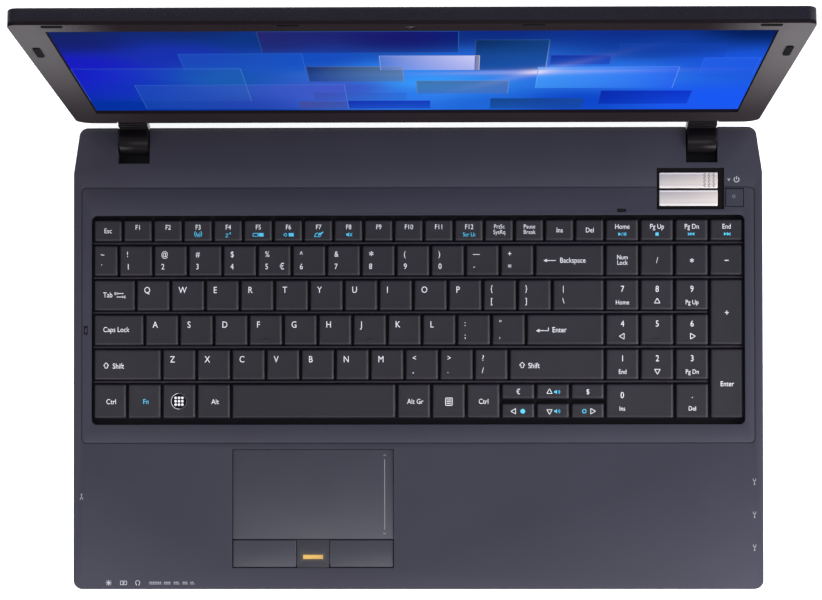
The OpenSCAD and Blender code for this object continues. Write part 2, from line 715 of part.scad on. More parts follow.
module display_port() color("#2b4a86") {
    difference() {
        block(port_x - 0.6, port_x + 10, vga_y - vga_w / 2, vga_y + vga_w / 2,
            floor_z + 3.4, floor_z + 13.6);
        for (sy = [-1, 1]) rod_x(port_x - 3, port_x + 6, vga_y + sy * 12.5, floor_z + 8.5, 1.5);
        block(port_x - 3, port_x + 4.5, vga_y - 8.5, vga_y + 8.5, floor_z + 4.8, floor_z + 12.2);
    }
    block(port_x - 0.4, port_x + 5, vga_y - 7.8, vga_y + 7.8, floor_z + 5.5, floor_z + 11.5);
}

module audio_jacks() color("#202024") for (y = jack_y) difference() {
    union() {
        block(port_x + 0.2, port_x + 13, y - 4, y + 4, board_top, board_top + 7);
        rod_x(port_x - 1.6, port_x + 1, y, jack_z, jack_ring_r);
    }
    rod_x(port_x - 3, port_x + 11, y, jack_z, jack_r);
}

module dc_inlet() color("#202024") {
    difference() {
        union() {
            block(port_x + 0.2, port_x + 13, dc_y - 5, dc_y + 5, inner_floor_z, jack_z + 4);
            rod_x(port_x - 1.4, port_x + 1, dc_y, jack_z, dc_r);
        }
        rod_x(port_x - 3, port_x + 10, dc_y, jack_z, 2.8);
    }
    rod_x(port_x - 0.4, port_x + 11, dc_y, jack_z, 0.8);
}

module card_reader() color("#8e8e94") difference() {
    block(card_x - card_w / 2 - 0.8, card_x + card_w / 2 + 0.8, front_y + wall + 0.1, front_y + wall + 30,
        board_top, board_top + 4.8);
    block(card_x - card_w / 2 + 0.6, card_x + card_w / 2 - 0.6, front_y, front_y + wall + 27,
        board_top + 0.6, board_top + 4);
}

module hinge_brackets() color("#8c8c92") both_hinges() {
    x = cut_w / 2 + pocket_wall + 0.2;
    block(x, x + 2, hinge_y - 7, rear_y - wall - 0.2, inner_floor_z, hinge_z + 2.7);
    block(x, x + 10, hinge_y - 12, rear_y - wall - 0.2, inner_floor_z, inner_floor_z + 1.5);
    rod_x(-drum_w / 2 + 2, x + 2, hinge_y, hinge_z, pin_r);
}

// ---------------------------------------------------------------- disc drive

module drive_case() color("#9c9ca2") difference() {
    block(drive_x0, drive_x1 - 0.4, drive_y - drive_w / 2, drive_y + drive_w / 2,
        drive_z, drive_z + drive_h - 0.1);
    block(drive_x0 + 1, drive_x1 + 5, drive_y - drive_w / 2 + 0.6, drive_y + drive_w / 2 - 0.6,
        drive_z + 0.6, drive_z + drive_h - 0.7);
}

module disc_tray() color("#2b2b31") difference() {
    union() {
        block(drive_x0 + 1.5, drive_x1 + 0.2, drive_y - tray_w / 2, drive_y + tray_w / 2,
            drive_z + 0.9, drive_z + 8);
        block(drive_x1, drive_x1 + wall, drive_y - drive_w / 2, drive_y + drive_w / 2,
            drive_z + 0.2, drive_z + drive_h - 0.2);
    }
    rod(disc_x, drive_y, drive_z + 6.4, disc_r, 5);
    rod(disc_x, drive_y, drive_z + 4, 16, 6);
    rod(disc_x, drive_y, 0, shaft_r + running, 20);
    // slot for the reading lens
    plate(disc_x + 28, drive_y, drive_z + 5.4, 36, 14, 4, 3);
    // eject button and emergency hole
    block(drive_x1 - 2, drive_x1 + 5, eject_y - eject_w / 2 - fit, eject_y + eject_w / 2 + fit,
        drive_z + 5 - fit, drive_z + 7.4 + fit);
}

module disc_spindle() color("#55555b") {
    rod(disc_x, drive_y, drive_z + 4.3, 13, 2.5);
    rod(disc_x, drive_y, drive_z + 6.7, 7.4, 2.6);
    rod(disc_x, drive_y, drive_z + 1.2, shaft_r, 4);
}

module eject_button() color("#3a3a40")
    block(drive_x1 - 0.8, drive_x1 + wall - 0.1, eject_y - eject_w / 2, eject_y + eject_w / 2,
        drive_z + 5, drive_z + 7.4);

// ---------------------------------------------------------------- lid

module on_lid() {
    translate([0, hinge_y, hinge_z]) rotate([lid_lean, 0, 0]) children();
}

// Outline of the lid, moved in by inset, in the lid's own frame
module lid_outline(inset = 0) {
    w1 = lid_w / 2 - inset;
    w0 = w1 - lid_taper / 2;
    y0 = lid_start + inset;
    y1 = lid_start + lid_len - inset;
    r = max(5 - inset, 0.5);
    r0 = max(9 - inset, 0.5);
    polygon([[-w0 + r0, y0], [w0 - r0, y0], [w0, y0 + r0], [w1, y1 - r], [w1 - r, y1], [-w1 + r, y1],
        [-w1, y1 - r], [-w0, y0 + r0]]);
    for (sx = [-1, 1]) {
        translate([sx * (w0 - r0), y0 + r0]) circle(r0);
        translate([sx * (w1 - r), y1 - r]) circle(r);
    }
}

module lid_slab(z0, z1, inset = 0) {
    translate([0, 0, z0]) linear_extrude(z1 - z0) lid_outline(inset);
}

screen_y = lid_start + chin_h;
webcam_y = (screen_y + screen_h + lid_start + lid_len) / 2;

module hinge_notches() {
    for (sx = [-1, 1]) block(sx * hinge_span / 2 - drum_w / 2 - fit, sx * hinge_span / 2 + drum_w / 2 + fit,
        lid_start - 5, lid_start + lid_skin + 1, lid_back - 1, lid_face + 1);
}

module lid_back_cover() color("#34343c") on_lid() difference() {
    lid_slab(lid_back, lid_face - bezel_t);
    lid_slab(lid_back + lid_skin, lid_face, lid_skin);
    hinge_notches();
}

module lid_bezel() color("#1c1c20") on_lid() difference() {
    lid_slab(lid_face - bezel_t, lid_face);
    block(-screen_w / 2, screen_w / 2, screen_y, screen_y + screen_h, lid_back, 0);
    hinge_notches();
    rod(0, webcam_y, lid_face - bezel_t - 1, 2.5 + fit, 5);
    rod(12, webcam_y, lid_face - bezel_t - 1, 0.5, 5);
}

module display_panel() color("#12225e") on_lid()
    block(-screen_w / 2 - panel_margin, screen_w / 2 + panel_margin, screen_y - panel_margin,
        screen_y + screen_h + panel_margin, lid_back + lid_skin + 0.2, lid_face - bezel_t - 0.05);

module webcam_module() color("#101014") on_lid() {
    block(-20, 20, screen_y + screen_h + panel_margin + fit, lid_start + lid_len - lid_skin - fit,
        lid_face - bezel_t - 1.4, lid_face - bezel_t - 0.05);
    rod(0, webcam_y, lid_face - bezel_t - 0.05, 2.5, bezel_t - 0.15);
}

module hinge_arms() color("#16161a") on_lid() for (sx = [-1, 1]) translate([sx * hinge_span / 2, 0, 0])
    difference() {
        union() {
            rod_x(-drum_w / 2, drum_w / 2, 0, 0, drum_r);
            block(-drum_w / 2, drum_w / 2, 0, lid_start + lid_skin + 0.5, lid_back + 0.3, lid_face + 1.6);
            // metal strap that is screwed inside the lid
            block(-drum_w / 2, drum_w / 2, lid_start, screen_y - panel_margin - 1, lid_back + lid_skin,
                lid_face - bezel_t - 0.1);
        }
        rod_x(-drum_w, drum_w, 0, 0, pin_r + running);
        block(-drum_w, drum_w, lid_start - 2.2, lid_start + 20, lid_face, lid_face + 5);
    }

module lid_bumpers() color("#0e0e10") on_lid() {
    for (sx = [-1, 1]) plate(sx * (lid_w / 2 - 7.2), lid_start + 177, lid_face, 3.6, 19, closed_gap - 0.2, 1.7);
    for (x = [-167.5, -57.3, 57.3, 167.5]) plate(x, webcam_y + 4, lid_face, 10, 3.4, 0.5, 0.8);
}

// ---------------------------------------------------------------- buttons and keys

module power_button() color("#c9c3c4")
    block(bar_x0, bar_x0 + bar_w, bar_y[1], bar_y[1] + bar_d, deck_z - 2.2, deck_z - 0.2);

module launch_button() color("#c9c3c4")
    block(bar_x0, bar_x0 + bar_w, bar_y[0], bar_y[0] + bar_d, deck_z - 2.2, deck_z - 0.2);

module small_key() color("#3f3f49")
    block(small_x0 + fit, small_x1 - fit, small_y0 + fit, small_y1 - fit, deck_z - 2.2, deck_z - 0.1);

module touchpad_button(x0, x1) {
    block(x0, x1, buttons_front_y + fit, pad_front_y - fit, pad_button_z, deck_z - 0.4);
}

module touchpad_button_left() color("#3c3c44")
    touchpad_button(pad_x - pad_w / 2 + fit, pad_x - finger_w / 2 - fit);

module touchpad_button_right() color("#3c3c44")
    touchpad_button(pad_x + finger_w / 2 + fit, pad_x + pad_w / 2 - fit);

module function_keys() color("#28272c")
    for (i = [0:F_KEYS + 3]) key(f_cell(i)[0], keys_y + f_key_d, f_cell(i)[1], f_key_d);

module number_keys() color("#28272c") key_row(NUMBER_ROW, 0, 0, 12);
module backspace_key() color("#28272c") key_row(NUMBER_ROW, 0, 13, 13);
module tab_key() color("#28272c") key_row(TOP_ROW, 1, 0, 0);
module top_letter_keys() color("#28272c") key_row(TOP_ROW, 1, 1, 13);
module caps_lock_key() color("#28272c") key_row(HOME_ROW, 2, 0, 0);
module home_letter_keys() color("#28272c") key_row(HOME_ROW, 2, 1, 11);
module enter_key() color("#28272c") key_row(HOME_ROW, 2, 12, 12);
module left_shift_key() color("#28272c") key_row(BOTTOM_ROW, 3, 0, 0);
module bottom_letter_keys() color("#28272c") key_row(BOTTOM_ROW, 3, 1, 10);
module right_shift_key() color("#28272c") key_row(BOTTOM_ROW, 3, 11, 11);
module modifier_keys() color("#28272c") {
    key_row(SPACE_ROW, 4, 0, 3);
    key_row(SPACE_ROW, 4, 5, 7);
}
module space_bar() color("#28272c") key_row(SPACE_ROW, 4, 4, 4);
module arrow_keys() color("#28272c")
    for (i = [0:5]) key(arrow_cell(i)[0], arrow_cell(i)[1], key_pitch, last_line_d / 2);
module numpad_keys() color("#28272c") {
    for (c = [0:2], l = [0:3]) numpad_key(c, l);
    numpad_key(3, 0);
    numpad_key(2, 4);
}
module numpad_plus_key() color("#28272c") numpad_key(3, 1, 1, 2);
module numpad_enter_key() color("#28272c") numpad_key(3, 3, 1, 2);
module numpad_zero_key() color("#28272c") numpad_key(0, 4, 2);

bottom_case();
top_case();
keyboard_plate();
button_panel();
touchpad_plate();
fingerprint_bezel();
fingerprint_sensor();
rubber_feet();
case_screws();
memory_cover();
motherboard();
heatsink();
fan_housing();
fan_impeller();
memory_modules();
hard_drive();
drive_case();
disc_tray();
disc_spindle();
eject_button();
battery_pack();
battery_latch_left();
battery_latch_right();
speakers();
usb_ports();
lan_port();
display_port();
audio_jacks();
dc_inlet();
card_reader();
hinge_brackets();
lid_back_cover();
lid_bezel();
display_panel();
webcam_module();
hinge_arms();
lid_bumpers();
power_button();
launch_button();
small_key();
touchpad_button_left();
touchpad_button_right();
function_keys();
number_keys();
top_letter_keys();
home_letter_keys();
bottom_letter_keys();
modifier_keys();
arrow_keys();
numpad_keys();
backspace_key();
tab_key();
caps_lock_key();
enter_key();
left_shift_key();
right_shift_key();
space_bar();
numpad_plus_key();
numpad_enter_key();
numpad_zero_key();
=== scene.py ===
# %% [markdown]
# # An open laptop computer
#
# This notebook dresses a measured model of a 15.6 inch laptop. The model arrives as a fixed frame:
# sixty solids, each in its place, riding on the bodies that move. Nothing in the frame is shifted or
# reshaped here. Cell by cell, plain solids get a finish, or give way to a finer piece of the same size.
# The frame could be rebuilt in Blender by hand, but then the looks and the mechanism would drift apart,
# so every place below is read from the frame itself.

# %% Load the measured frame
import json
import math
import bmesh
import bpy
from mathutils import Matrix, Vector


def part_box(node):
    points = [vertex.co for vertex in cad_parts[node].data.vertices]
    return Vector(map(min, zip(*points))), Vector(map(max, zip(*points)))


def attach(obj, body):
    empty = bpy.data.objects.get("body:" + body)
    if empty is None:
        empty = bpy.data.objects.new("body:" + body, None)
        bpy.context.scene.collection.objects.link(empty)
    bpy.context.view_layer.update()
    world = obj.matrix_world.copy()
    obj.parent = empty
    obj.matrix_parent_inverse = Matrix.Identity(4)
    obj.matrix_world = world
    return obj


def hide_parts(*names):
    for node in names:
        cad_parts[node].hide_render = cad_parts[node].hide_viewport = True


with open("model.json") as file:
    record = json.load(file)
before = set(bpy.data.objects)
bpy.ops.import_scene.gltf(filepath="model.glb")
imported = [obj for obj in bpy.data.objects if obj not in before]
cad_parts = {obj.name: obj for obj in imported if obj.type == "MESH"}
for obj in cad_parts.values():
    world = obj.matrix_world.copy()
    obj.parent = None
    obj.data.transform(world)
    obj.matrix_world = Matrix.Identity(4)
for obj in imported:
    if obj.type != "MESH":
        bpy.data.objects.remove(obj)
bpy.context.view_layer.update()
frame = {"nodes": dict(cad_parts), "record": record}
nodes = frame["nodes"]
body_of_node = {n: b for b, names in frame["record"]["behaviour"]["bodies"].items() for n in names}
slot_of_node = {p["node"]: p["material_slot"] for p in frame["record"]["subparts"]}
MM = 0.001

# %% [markdown]
# Every later measure starts from a few lines of the real object: the plane of the deck, the rear and
# front edges, the cell grid of the keyboard. Reading them from the boxes of the nodes keeps the looks in
# step if a size changes. The keyboard grid starts at the left edge of the first keycap, less half the gap
# between two caps, and its rear line is the rear of the number keys. Caps side by side stand closer
# together than the lines do.

# %% Datum lines of the base and the keyboard
deck_low, deck_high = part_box("top_case")
DECK = deck_high.z
FRONT, REAR = deck_low.y, deck_high.y
SIDE = deck_high.x
SIDE_GAP, LINE_GAP = 1.0 * MM, 1.7 * MM
num_low, num_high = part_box("number_keys")
all_low, all_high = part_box("function_keys")
KX = all_low.x - SIDE_GAP / 2
KY = num_high.y + LINE_GAP / 2
PITCH = num_high.y - num_low.y + LINE_GAP
KEY_TOP = num_high.z
print(f"deck {DECK / MM:.1f} mm, key pitch {PITCH / MM:.2f} mm, key grid from {KX / MM:.1f}, {KY / MM:.1f}")

# %% [markdown]
# The lid has a frame of its own: it turns about the hinge, leans back a little past upright, and all its
# parts are square to it. Working in that leaning frame and turning the finished mesh is far easier than
# placing tilted pieces one by one. The hinge's place comes from the record's joint, and the lean from the
# joint's range, whose upper end is the closed lid.

# %% The lid's own frame
lid_joint = next(j for j in frame["record"]["behaviour"]["joints"] if j["name"] == "lid_hinge")
HINGE = Vector(lid_joint["pos_m"])
LID_LEAN = math.radians(180 - lid_joint["range_deg"][1])
LID = Matrix.Translation(HINGE) @ Matrix.Rotation(LID_LEAN, 4, "X")
LID_INV = LID.inverted()


def lid_box(node):
    """Lowest and highest corners of a node in the lid's own frame."""
    spots = [LID_INV @ v.co for v in nodes[node].data.vertices]
    return (Vector([min(p[i] for p in spots) for i in range(3)]),
            Vector([max(p[i] for p in spots) for i in range(3)]))


PANEL_FRONT = lid_box("display_panel")[1].z
print("hinge at", [round(v / MM, 1) for v in HINGE], "panel front", round(PANEL_FRONT / MM, 2), "mm")

# %% [markdown]
# The camera hangs over the keyboard and looks almost straight down, so the screen is seen at a very flat
# angle. A long lens from far off keeps the base nearly free of perspective. The three direction vectors
# could be had from a Track To constraint, but a matrix of right, up and backward states the view exactly.

# %% Camera
LENS, FILM_WIDTH, FAR_END = 123.07, 36, 20
EYE = (0.0187, -0.0175, 1.5672)
RIGHT = (0.99989, -0.00125, -0.01452)
UP = (0.00154, 0.99980, 0.02005)
BACK = (0.01449, -0.02007, 0.99969)

camera_data = bpy.data.cameras.new("camera")
camera_data.sensor_width = FILM_WIDTH
camera_data.lens = LENS
camera_data.clip_end = FAR_END
camera = bpy.data.objects.new("camera", camera_data)
bpy.context.scene.collection.objects.link(camera)
camera.matrix_world = Matrix.Translation(EYE) @ Matrix((RIGHT, UP, BACK)).transposed().to_4x4()
bpy.context.scene.camera = camera
bpy.context.scene.view_settings.view_transform = "Standard"
print("camera", [round(v, 3) for v in camera.location], "lens", camera_data.lens)

# %% [markdown]
# The room's light and every finish are small networks of nodes. Four helpers keep them short: one starts an
# empty material, one adds a node and feeds its inputs with values or with the outputs of other nodes, one
# does sums, and one tells the rays that see a thing directly from the rays that only carry light.

# %% Helpers for networks of nodes
def empty_material(name):
    """A new material and its network, which is still empty."""
    material = bpy.data.materials.new(name)
    material.use_nodes = True
    material.node_tree.nodes.clear()
    return material, material.node_tree


def add(tree, kind, inputs=None, **settings):
    """Add a node with its settings; an input takes a value or the output that feeds it."""
    node = tree.nodes.new(kind)
    for name, value in settings.items():
        setattr(node, name, value)
    for socket, value in (inputs or {}).items():
        if isinstance(value, bpy.types.NodeSocket):
            tree.links.new(value, node.inputs[socket])
        else:
            node.inputs[socket].default_value = value
    return node


def maths(tree, operation, *values):
    return add(tree, "ShaderNodeMath", dict(enumerate(values)), operation=operation).outputs[0]


def seen_directly(tree):
    """1 for a ray from the camera, off a gloss or through glass, and 0 for the rest."""
    ray = add(tree, "ShaderNodeLightPath")
    share = 0
    for kind in ("Is Camera Ray", "Is Glossy Ray", "Is Transmission Ray"):
        share = maths(tree, "MAXIMUM", share, ray.outputs[kind])
    return share


print("helpers:", empty_material.__name__, add.__name__, maths.__name__, seen_directly.__name__)

# %% [markdown]
# The light is a plain studio: an even pale world does most of the work, one wide panel hangs over the
# palm rest, and a lower panel stands to the right so that the sloped right edges of the keys catch it.
# A wide panel behind lights the lid, and two small ones near the floor lift the front corners of the deck.
# A single strong lamp would be simpler but would leave hard shadows in every gap between the keys.

# %% Lights
def softbox(name, place, target, size, power):
    lamp = bpy.data.lights.new(name, "AREA")
    lamp.shape = "RECTANGLE"
    lamp.size, lamp.size_y = size
    lamp.energy = power
    holder = bpy.data.objects.new(name, lamp)
    holder.location = place
    holder.rotation_euler = (Vector(target) - Vector(place)).to_track_quat("-Z", "Y").to_euler()
    bpy.context.scene.collection.objects.link(holder)


# name, place, point it faces, width and height in metres, power in watts
for panel in (("panel_over_palm_rest", (0.05, -0.62, 1.05), (0, -0.1, 0), (0.9, 0.5), 6),
              ("panel_at_right", (1.15, 0.05, 0.62), (0, 0, 0.02), (1.2, 0.9), 12),
              ("panel_behind", (-0.3, 1.1, 1.1), (0, 0.05, 0.1), (0.8, 0.4), 4),
              ("panel_low_left", (-0.38, -0.30, 0.13), (-0.18, -0.15, 0.02), (0.4, 0.2), 2.0),
              ("panel_low_right", (0.38, -0.30, 0.13), (0.18, -0.15, 0.02), (0.4, 0.2), 3.4)):
    softbox(*panel)

ROOM_COLOUR, ROOM_STRENGTH = (0.93, 0.95, 1.0, 1), 0.62
world = bpy.data.worlds.new("studio")
bpy.context.scene.world = world
world.use_nodes = True
room = world.node_tree
room.nodes.clear()
light = add(room, "ShaderNodeBackground", {"Color": ROOM_COLOUR, "Strength": ROOM_STRENGTH})
backdrop = add(room, "ShaderNodeBackground", {"Color": (1, 1, 1, 1), "Strength": 1.0})
mixed = add(room, "ShaderNodeMixShader",
            {0: seen_directly(room), 1: light.outputs[0], 2: backdrop.outputs[0]})
add(room, "ShaderNodeOutputWorld", {"Surface": mixed.outputs[0]})

# %% [markdown]
# The floor is a wide pale sheet. It has to look white and still show where the laptop stands, so its
# material is part plain white and part a faint glow that only direct rays see. The glow lifts the sheet to
# white without lighting the laptop, and the shadow keeps a soft grey.

# %% Floor
FLOOR_HALF = 6
FLOOR_GLOW = 0.55
FLOOR_DARKEST, FLOOR_PALEST = 0.78, 0.84


def pale_floor():
    material, tree = empty_material("pale_floor")
    strength = maths(tree, "MULTIPLY", seen_directly(tree), FLOOR_GLOW)
    glow = add(tree, "ShaderNodeEmission", {"Strength": strength})
    coords = add(tree, "ShaderNodeTexCoord")
    fibre = add(tree, "ShaderNodeTexNoise", {"Vector": coords.outputs["Object"], "Scale": 90})
    shade = add(tree, "ShaderNodeMapRange", {"Value": fibre.outputs["Fac"], "To Min": FLOOR_DARKEST,
                                             "To Max": FLOOR_PALEST})
    matte = add(tree, "ShaderNodeBsdfDiffuse", {"Color": shade.outputs[0]})
    both = add(tree, "ShaderNodeAddShader", {0: glow.outputs[0], 1: matte.outputs[0]})
    add(tree, "ShaderNodeOutputMaterial", {"Surface": both.outputs[0]})
    return material


floor_mesh = bpy.data.meshes.new("floor")
floor_mesh.from_pydata([(x * FLOOR_HALF, y * FLOOR_HALF, 0) for x, y in ((-1, -1), (1, -1), (1, 1), (-1, 1))],
                       [], [(0, 1, 2, 3)])
floor = bpy.data.objects.new("floor", floor_mesh)
bpy.context.scene.collection.objects.link(floor)
floor_mesh.materials.append(pale_floor())
print("floor", tuple(round(v) for v in floor.dimensions))

# %% [markdown]
# Moulded plastic is never one flat colour. Under a glass it has a fine cast grain, its shade drifts a
# little across a wide part, and handling makes some patches glossier than others. One helper builds that
# from three noise textures on object coordinates: a fine one for the bump, a wide one for the shade and a
# middle one for the roughness. An image of real plastic would also do, but it would have to be unwrapped
# onto sixty parts, and noise needs no unwrapping.

# %% A finish for moulded plastics
WIDE_PATCHES, HAND_PATCHES = 14, 55      # patches per metre of the shade and of the gloss
BUMP_STRENGTH = 0.6


def noise(tree, coords, scale, detail=2.0, stretch=(1, 1, 1)):
    place = add(tree, "ShaderNodeMapping", {"Vector": coords.outputs["Object"], "Scale": stretch})
    texture = add(tree, "ShaderNodeTexNoise", {"Vector": place.outputs[0], "Scale": scale, "Detail": detail})
    return texture.outputs["Fac"]


def spread(tree, source, low, high, start=0.3, stop=0.7, **settings):
    """Spread the source's range from start to stop over the range from low to high."""
    return add(tree, "ShaderNodeMapRange", {"Value": source, "From Min": start, "From Max": stop,
                                            "To Min": low, "To Max": high}, **settings).outputs[0]


def blend(tree, share, first, second):
    return add(tree, "ShaderNodeMix", {0: share, 6: first, 7: second}, data_type="RGBA").outputs[2]


def scaled(colour, factor):
    return (*(min(c * factor, 1) for c in colour), 1)


def surface(name, colour, rough, grain=0.35, depth=0.02, drift=0.14, metal=0.0, stretch=(1, 1, 1),
            coat=0.0, specular=0.5, fleck=None):
    """A finish: colour, (lowest, highest) roughness, grain size in mm and its depth in mm."""
    material, tree = empty_material(name)
    coords = add(tree, "ShaderNodeTexCoord")
    wide = spread(tree, noise(tree, coords, WIDE_PATCHES, 3, stretch), 0, 1)
    tone = blend(tree, wide, scaled(colour, 1 - drift), scaled(colour, 1 + drift))
    fine = noise(tree, coords, 1 / (grain * MM), 2, stretch)
    if fleck:
        tone = blend(tree, spread(tree, fine, 0, 0.5, 0.5, 0.75), tone, (*fleck, 1))
    bump = add(tree, "ShaderNodeBump", {"Strength": BUMP_STRENGTH, "Distance": depth * MM, "Height": fine})
    shader = add(tree, "ShaderNodeBsdfPrincipled", {
        "Base Color": tone, "Roughness": spread(tree, noise(tree, coords, HAND_PATCHES, 3), *rough),
        "Normal": bump.outputs[0], "Metallic": metal, "Specular IOR Level": specular,
        "Coat Weight": coat, "Coat Roughness": 0.08})
    add(tree, "ShaderNodeOutputMaterial", {"Surface": shader.outputs[0]})
    return material


DECK_PLASTIC = surface("deck_plastic", (0.023, 0.022, 0.034), (0.42, 0.52), 0.28, 0.012, 0.06,
                       specular=0.16, fleck=(0.035, 0.034, 0.049))
CASE_PLASTIC = surface("case_plastic", (0.020, 0.020, 0.024), (0.45, 0.6), 0.5, 0.03, 0.12,
                       specular=0.3)
LID_PLASTIC = surface("lid_plastic", (0.008, 0.007, 0.013), (0.34, 0.44), 0.7, 0.02, 0.12,
                      specular=0.10, fleck=(0.022, 0.020, 0.032))
BEZEL_PLASTIC = surface("bezel_plastic", (0.012, 0.009, 0.011), (0.30, 0.40), 0.22, 0.006, 0.08,
                        specular=0.0)
KEY_PLASTIC = surface("key_plastic", (0.011, 0.010, 0.014), (0.40, 0.50), 0.25, 0.008, 0.10,
                      specular=0.20)
PAD_PLASTIC = surface("pad_plastic", (0.026, 0.026, 0.038), (0.32, 0.40), 0.2, 0.004, 0.05,
                      specular=0.25)
GLOSS_BLACK = surface("gloss_black", (0.005, 0.004, 0.005), (0.16, 0.28), 1.5, 0.001, 0.2,
                      specular=0.05)
FINGER_PLASTIC = surface("finger_plastic", (0.022, 0.021, 0.030), (0.32, 0.40), 0.2, 0.004, 0.05,
                         specular=0.25)
INNER_PLASTIC = surface("inner_plastic", (0.022, 0.022, 0.025), (0.5, 0.65), 0.6, 0.02, 0.15)
BATTERY_PLASTIC = surface("battery_plastic", (0.026, 0.026, 0.030), (0.42, 0.56), 0.4, 0.025, 0.12)
RUBBER = surface("rubber", (0.009, 0.009, 0.010), (0.75, 0.9), 0.8, 0.03, 0.2, specular=0.0)
LENS_BLACK = surface("lens_black", (0.006, 0.006, 0.010), (0.04, 0.08), 2, 0.0005, 0.2, coat=1.0)
BLUE_PLASTIC = surface("blue_plastic", (0.03, 0.07, 0.30), (0.35, 0.5), 0.5, 0.01, 0.12)


def paint_side_reflection(material, colour):
    """Paint a reflection into the colour: a lighter tone blended into the front of the bezel's sides,
    strongest near the lid's top edge.
    """
    tree = material.node_tree
    shader = tree.nodes["Principled BSDF"]
    coords = add(tree, "ShaderNodeTexCoord")
    place = add(tree, "ShaderNodeSeparateXYZ", {0: coords.outputs["Object"]}).outputs
    facing = add(tree, "ShaderNodeSeparateXYZ", {0: coords.outputs["Normal"]}).outputs
    share = 1
    for source, start, stop, low, high in ((maths(tree, "ABSOLUTE", place["X"]), 0.135, 0.182, 0, 1),
                                           (place["Z"], 0.04, 0.25, 0.08, 1),
                                           (facing["Y"], -0.9, -0.6, 1, 0)):
        ramp = spread(tree, source, low, high, start, stop, interpolation_type="SMOOTHSTEP")
        share = maths(tree, "MULTIPLY", share, ramp)
    base = shader.inputs["Base Color"].links[0].from_socket
    tree.links.new(blend(tree, share, base, (*colour, 1)), shader.inputs["Base Color"])


# painted reflection: the bezel's sides get a lighter grey in their colour where they would catch the light
paint_side_reflection(BEZEL_PLASTIC, (0.078, 0.073, 0.077))
print("plastics:", len([m for m in bpy.data.materials if "Principled BSDF" in m.node_tree.nodes]))

# %% [markdown]
# The metals differ in how they were worked. The two bar buttons are brushed along their length, which is
# noise stretched a hundredfold along X. Sheet steel keeps a faint mottled rolling pattern, and copper is
# warm and slightly tarnished. All three use the same helper, with full metallic and another stretch.

# %% Finishes for metals
BRUSHED = surface("brushed_metal", (0.465, 0.425, 0.405), (0.38, 0.46), 0.35, 0.004, 0.05, metal=0.55,
                  stretch=(0.01, 1, 1))
SHEET_STEEL = surface("sheet_steel", (0.46, 0.46, 0.48), (0.28, 0.45), 0.9, 0.004, 0.1, metal=1.0)
TIN_SHELL = surface("tin_shell", (0.60, 0.60, 0.62), (0.22, 0.34), 0.5, 0.003, 0.08, metal=1.0)
COPPER = surface("copper", (0.72, 0.38, 0.23), (0.28, 0.45), 0.8, 0.004, 0.16, metal=1.0)
GOLD = surface("gold_strip", (0.58, 0.35, 0.10), (0.25, 0.35), 0.3, 0.002, 0.2, metal=0.7)
PAINTED_PLATE = surface("painted_plate", (0.010, 0.009, 0.012), (0.45, 0.6), 0.4, 0.01, 0.12,
                        specular=0.08)
print("metals:", BRUSHED.name, SHEET_STEEL.name, TIN_SHELL.name, COPPER.name, GOLD.name)

# %% [markdown]
# A circuit board is green lacquer over copper tracks, so its colour follows a grid of fine lines. A brick
# texture gives long thin tracks between pads, and the lacquer makes it glossy.

# %% Circuit board finish
TRACKS_PER_METRE = 220


def board_finish():
    material, tree = empty_material("circuit_board")
    coords = add(tree, "ShaderNodeTexCoord")
    tracks = add(tree, "ShaderNodeTexBrick", {
        "Vector": coords.outputs["Object"], "Scale": TRACKS_PER_METRE, "Mortar Size": 0.03,
        "Color1": (0.012, 0.105, 0.04, 1), "Color2": (0.018, 0.14, 0.055, 1),
        "Mortar": (0.05, 0.24, 0.10, 1)})
    bump = add(tree, "ShaderNodeBump", {"Distance": 0.02 * MM, "Height": tracks.outputs["Fac"]})
    shader = add(tree, "ShaderNodeBsdfPrincipled", {
        "Base Color": tracks.outputs["Color"], "Normal": bump.outputs[0],
        "Roughness": spread(tree, noise(tree, coords, 80), 0.2, 0.4)})
    add(tree, "ShaderNodeOutputMaterial", {"Surface": shader.outputs[0]})
    return material


BOARD = board_finish()
print("board tracks per metre:", TRACKS_PER_METRE)

# %% [markdown]
# Each node's record names a material slot, so one table from slot to finish dresses the whole frame at
# once. Nodes that get a finer piece later are dressed too, which costs nothing.

# %% Dress the frame
FINISH = {"case_plastic": CASE_PLASTIC, "deck_plastic": DECK_PLASTIC, "key_plastic": KEY_PLASTIC,
          "key_plate": PAINTED_PLATE, "gloss_black": GLOSS_BLACK, "pad_surface": PAD_PLASTIC,
          "gold_sensor": GOLD, "rubber": RUBBER, "steel": SHEET_STEEL, "socket_shell": TIN_SHELL,
          "circuit_board": BOARD, "copper": COPPER, "inner_plastic": INNER_PLASTIC,
          "battery_plastic": BATTERY_PLASTIC, "blue_plastic": BLUE_PLASTIC, "lid_plastic": LID_PLASTIC,
          "bezel_plastic": BEZEL_PLASTIC, "screen": LENS_BLACK, "lens": LENS_BLACK,
          "button_metal": BRUSHED}
for name, solid in nodes.items():
    solid.data.materials.clear()
    solid.data.materials.append(FINGER_PLASTIC if name == "fingerprint_bezel" else FINISH[slot_of_node[name]])
print("dressed", len(nodes), "nodes with", len(set(FINISH.values())), "finishes")

# %% [markdown]
# Real mouldings have no knife edges: every rim is rounded by a few tenths of a millimetre, and that thin
# round is what catches the light. The frame's solids are sharp, so a copy of a solid is merged, freed of
# the lines inside its flat faces, and bevelled. A rule can ask for a wider round on some edges, such as
# the outer rim of the lid: the rule gives each edge a weight, and the Bevel modifier follows the weights.

# %% A softened copy of a solid
SAME_SPOT = 2e-6
FLAT_ANGLE, SHARP_ANGLE = 0.6, 32      # degrees


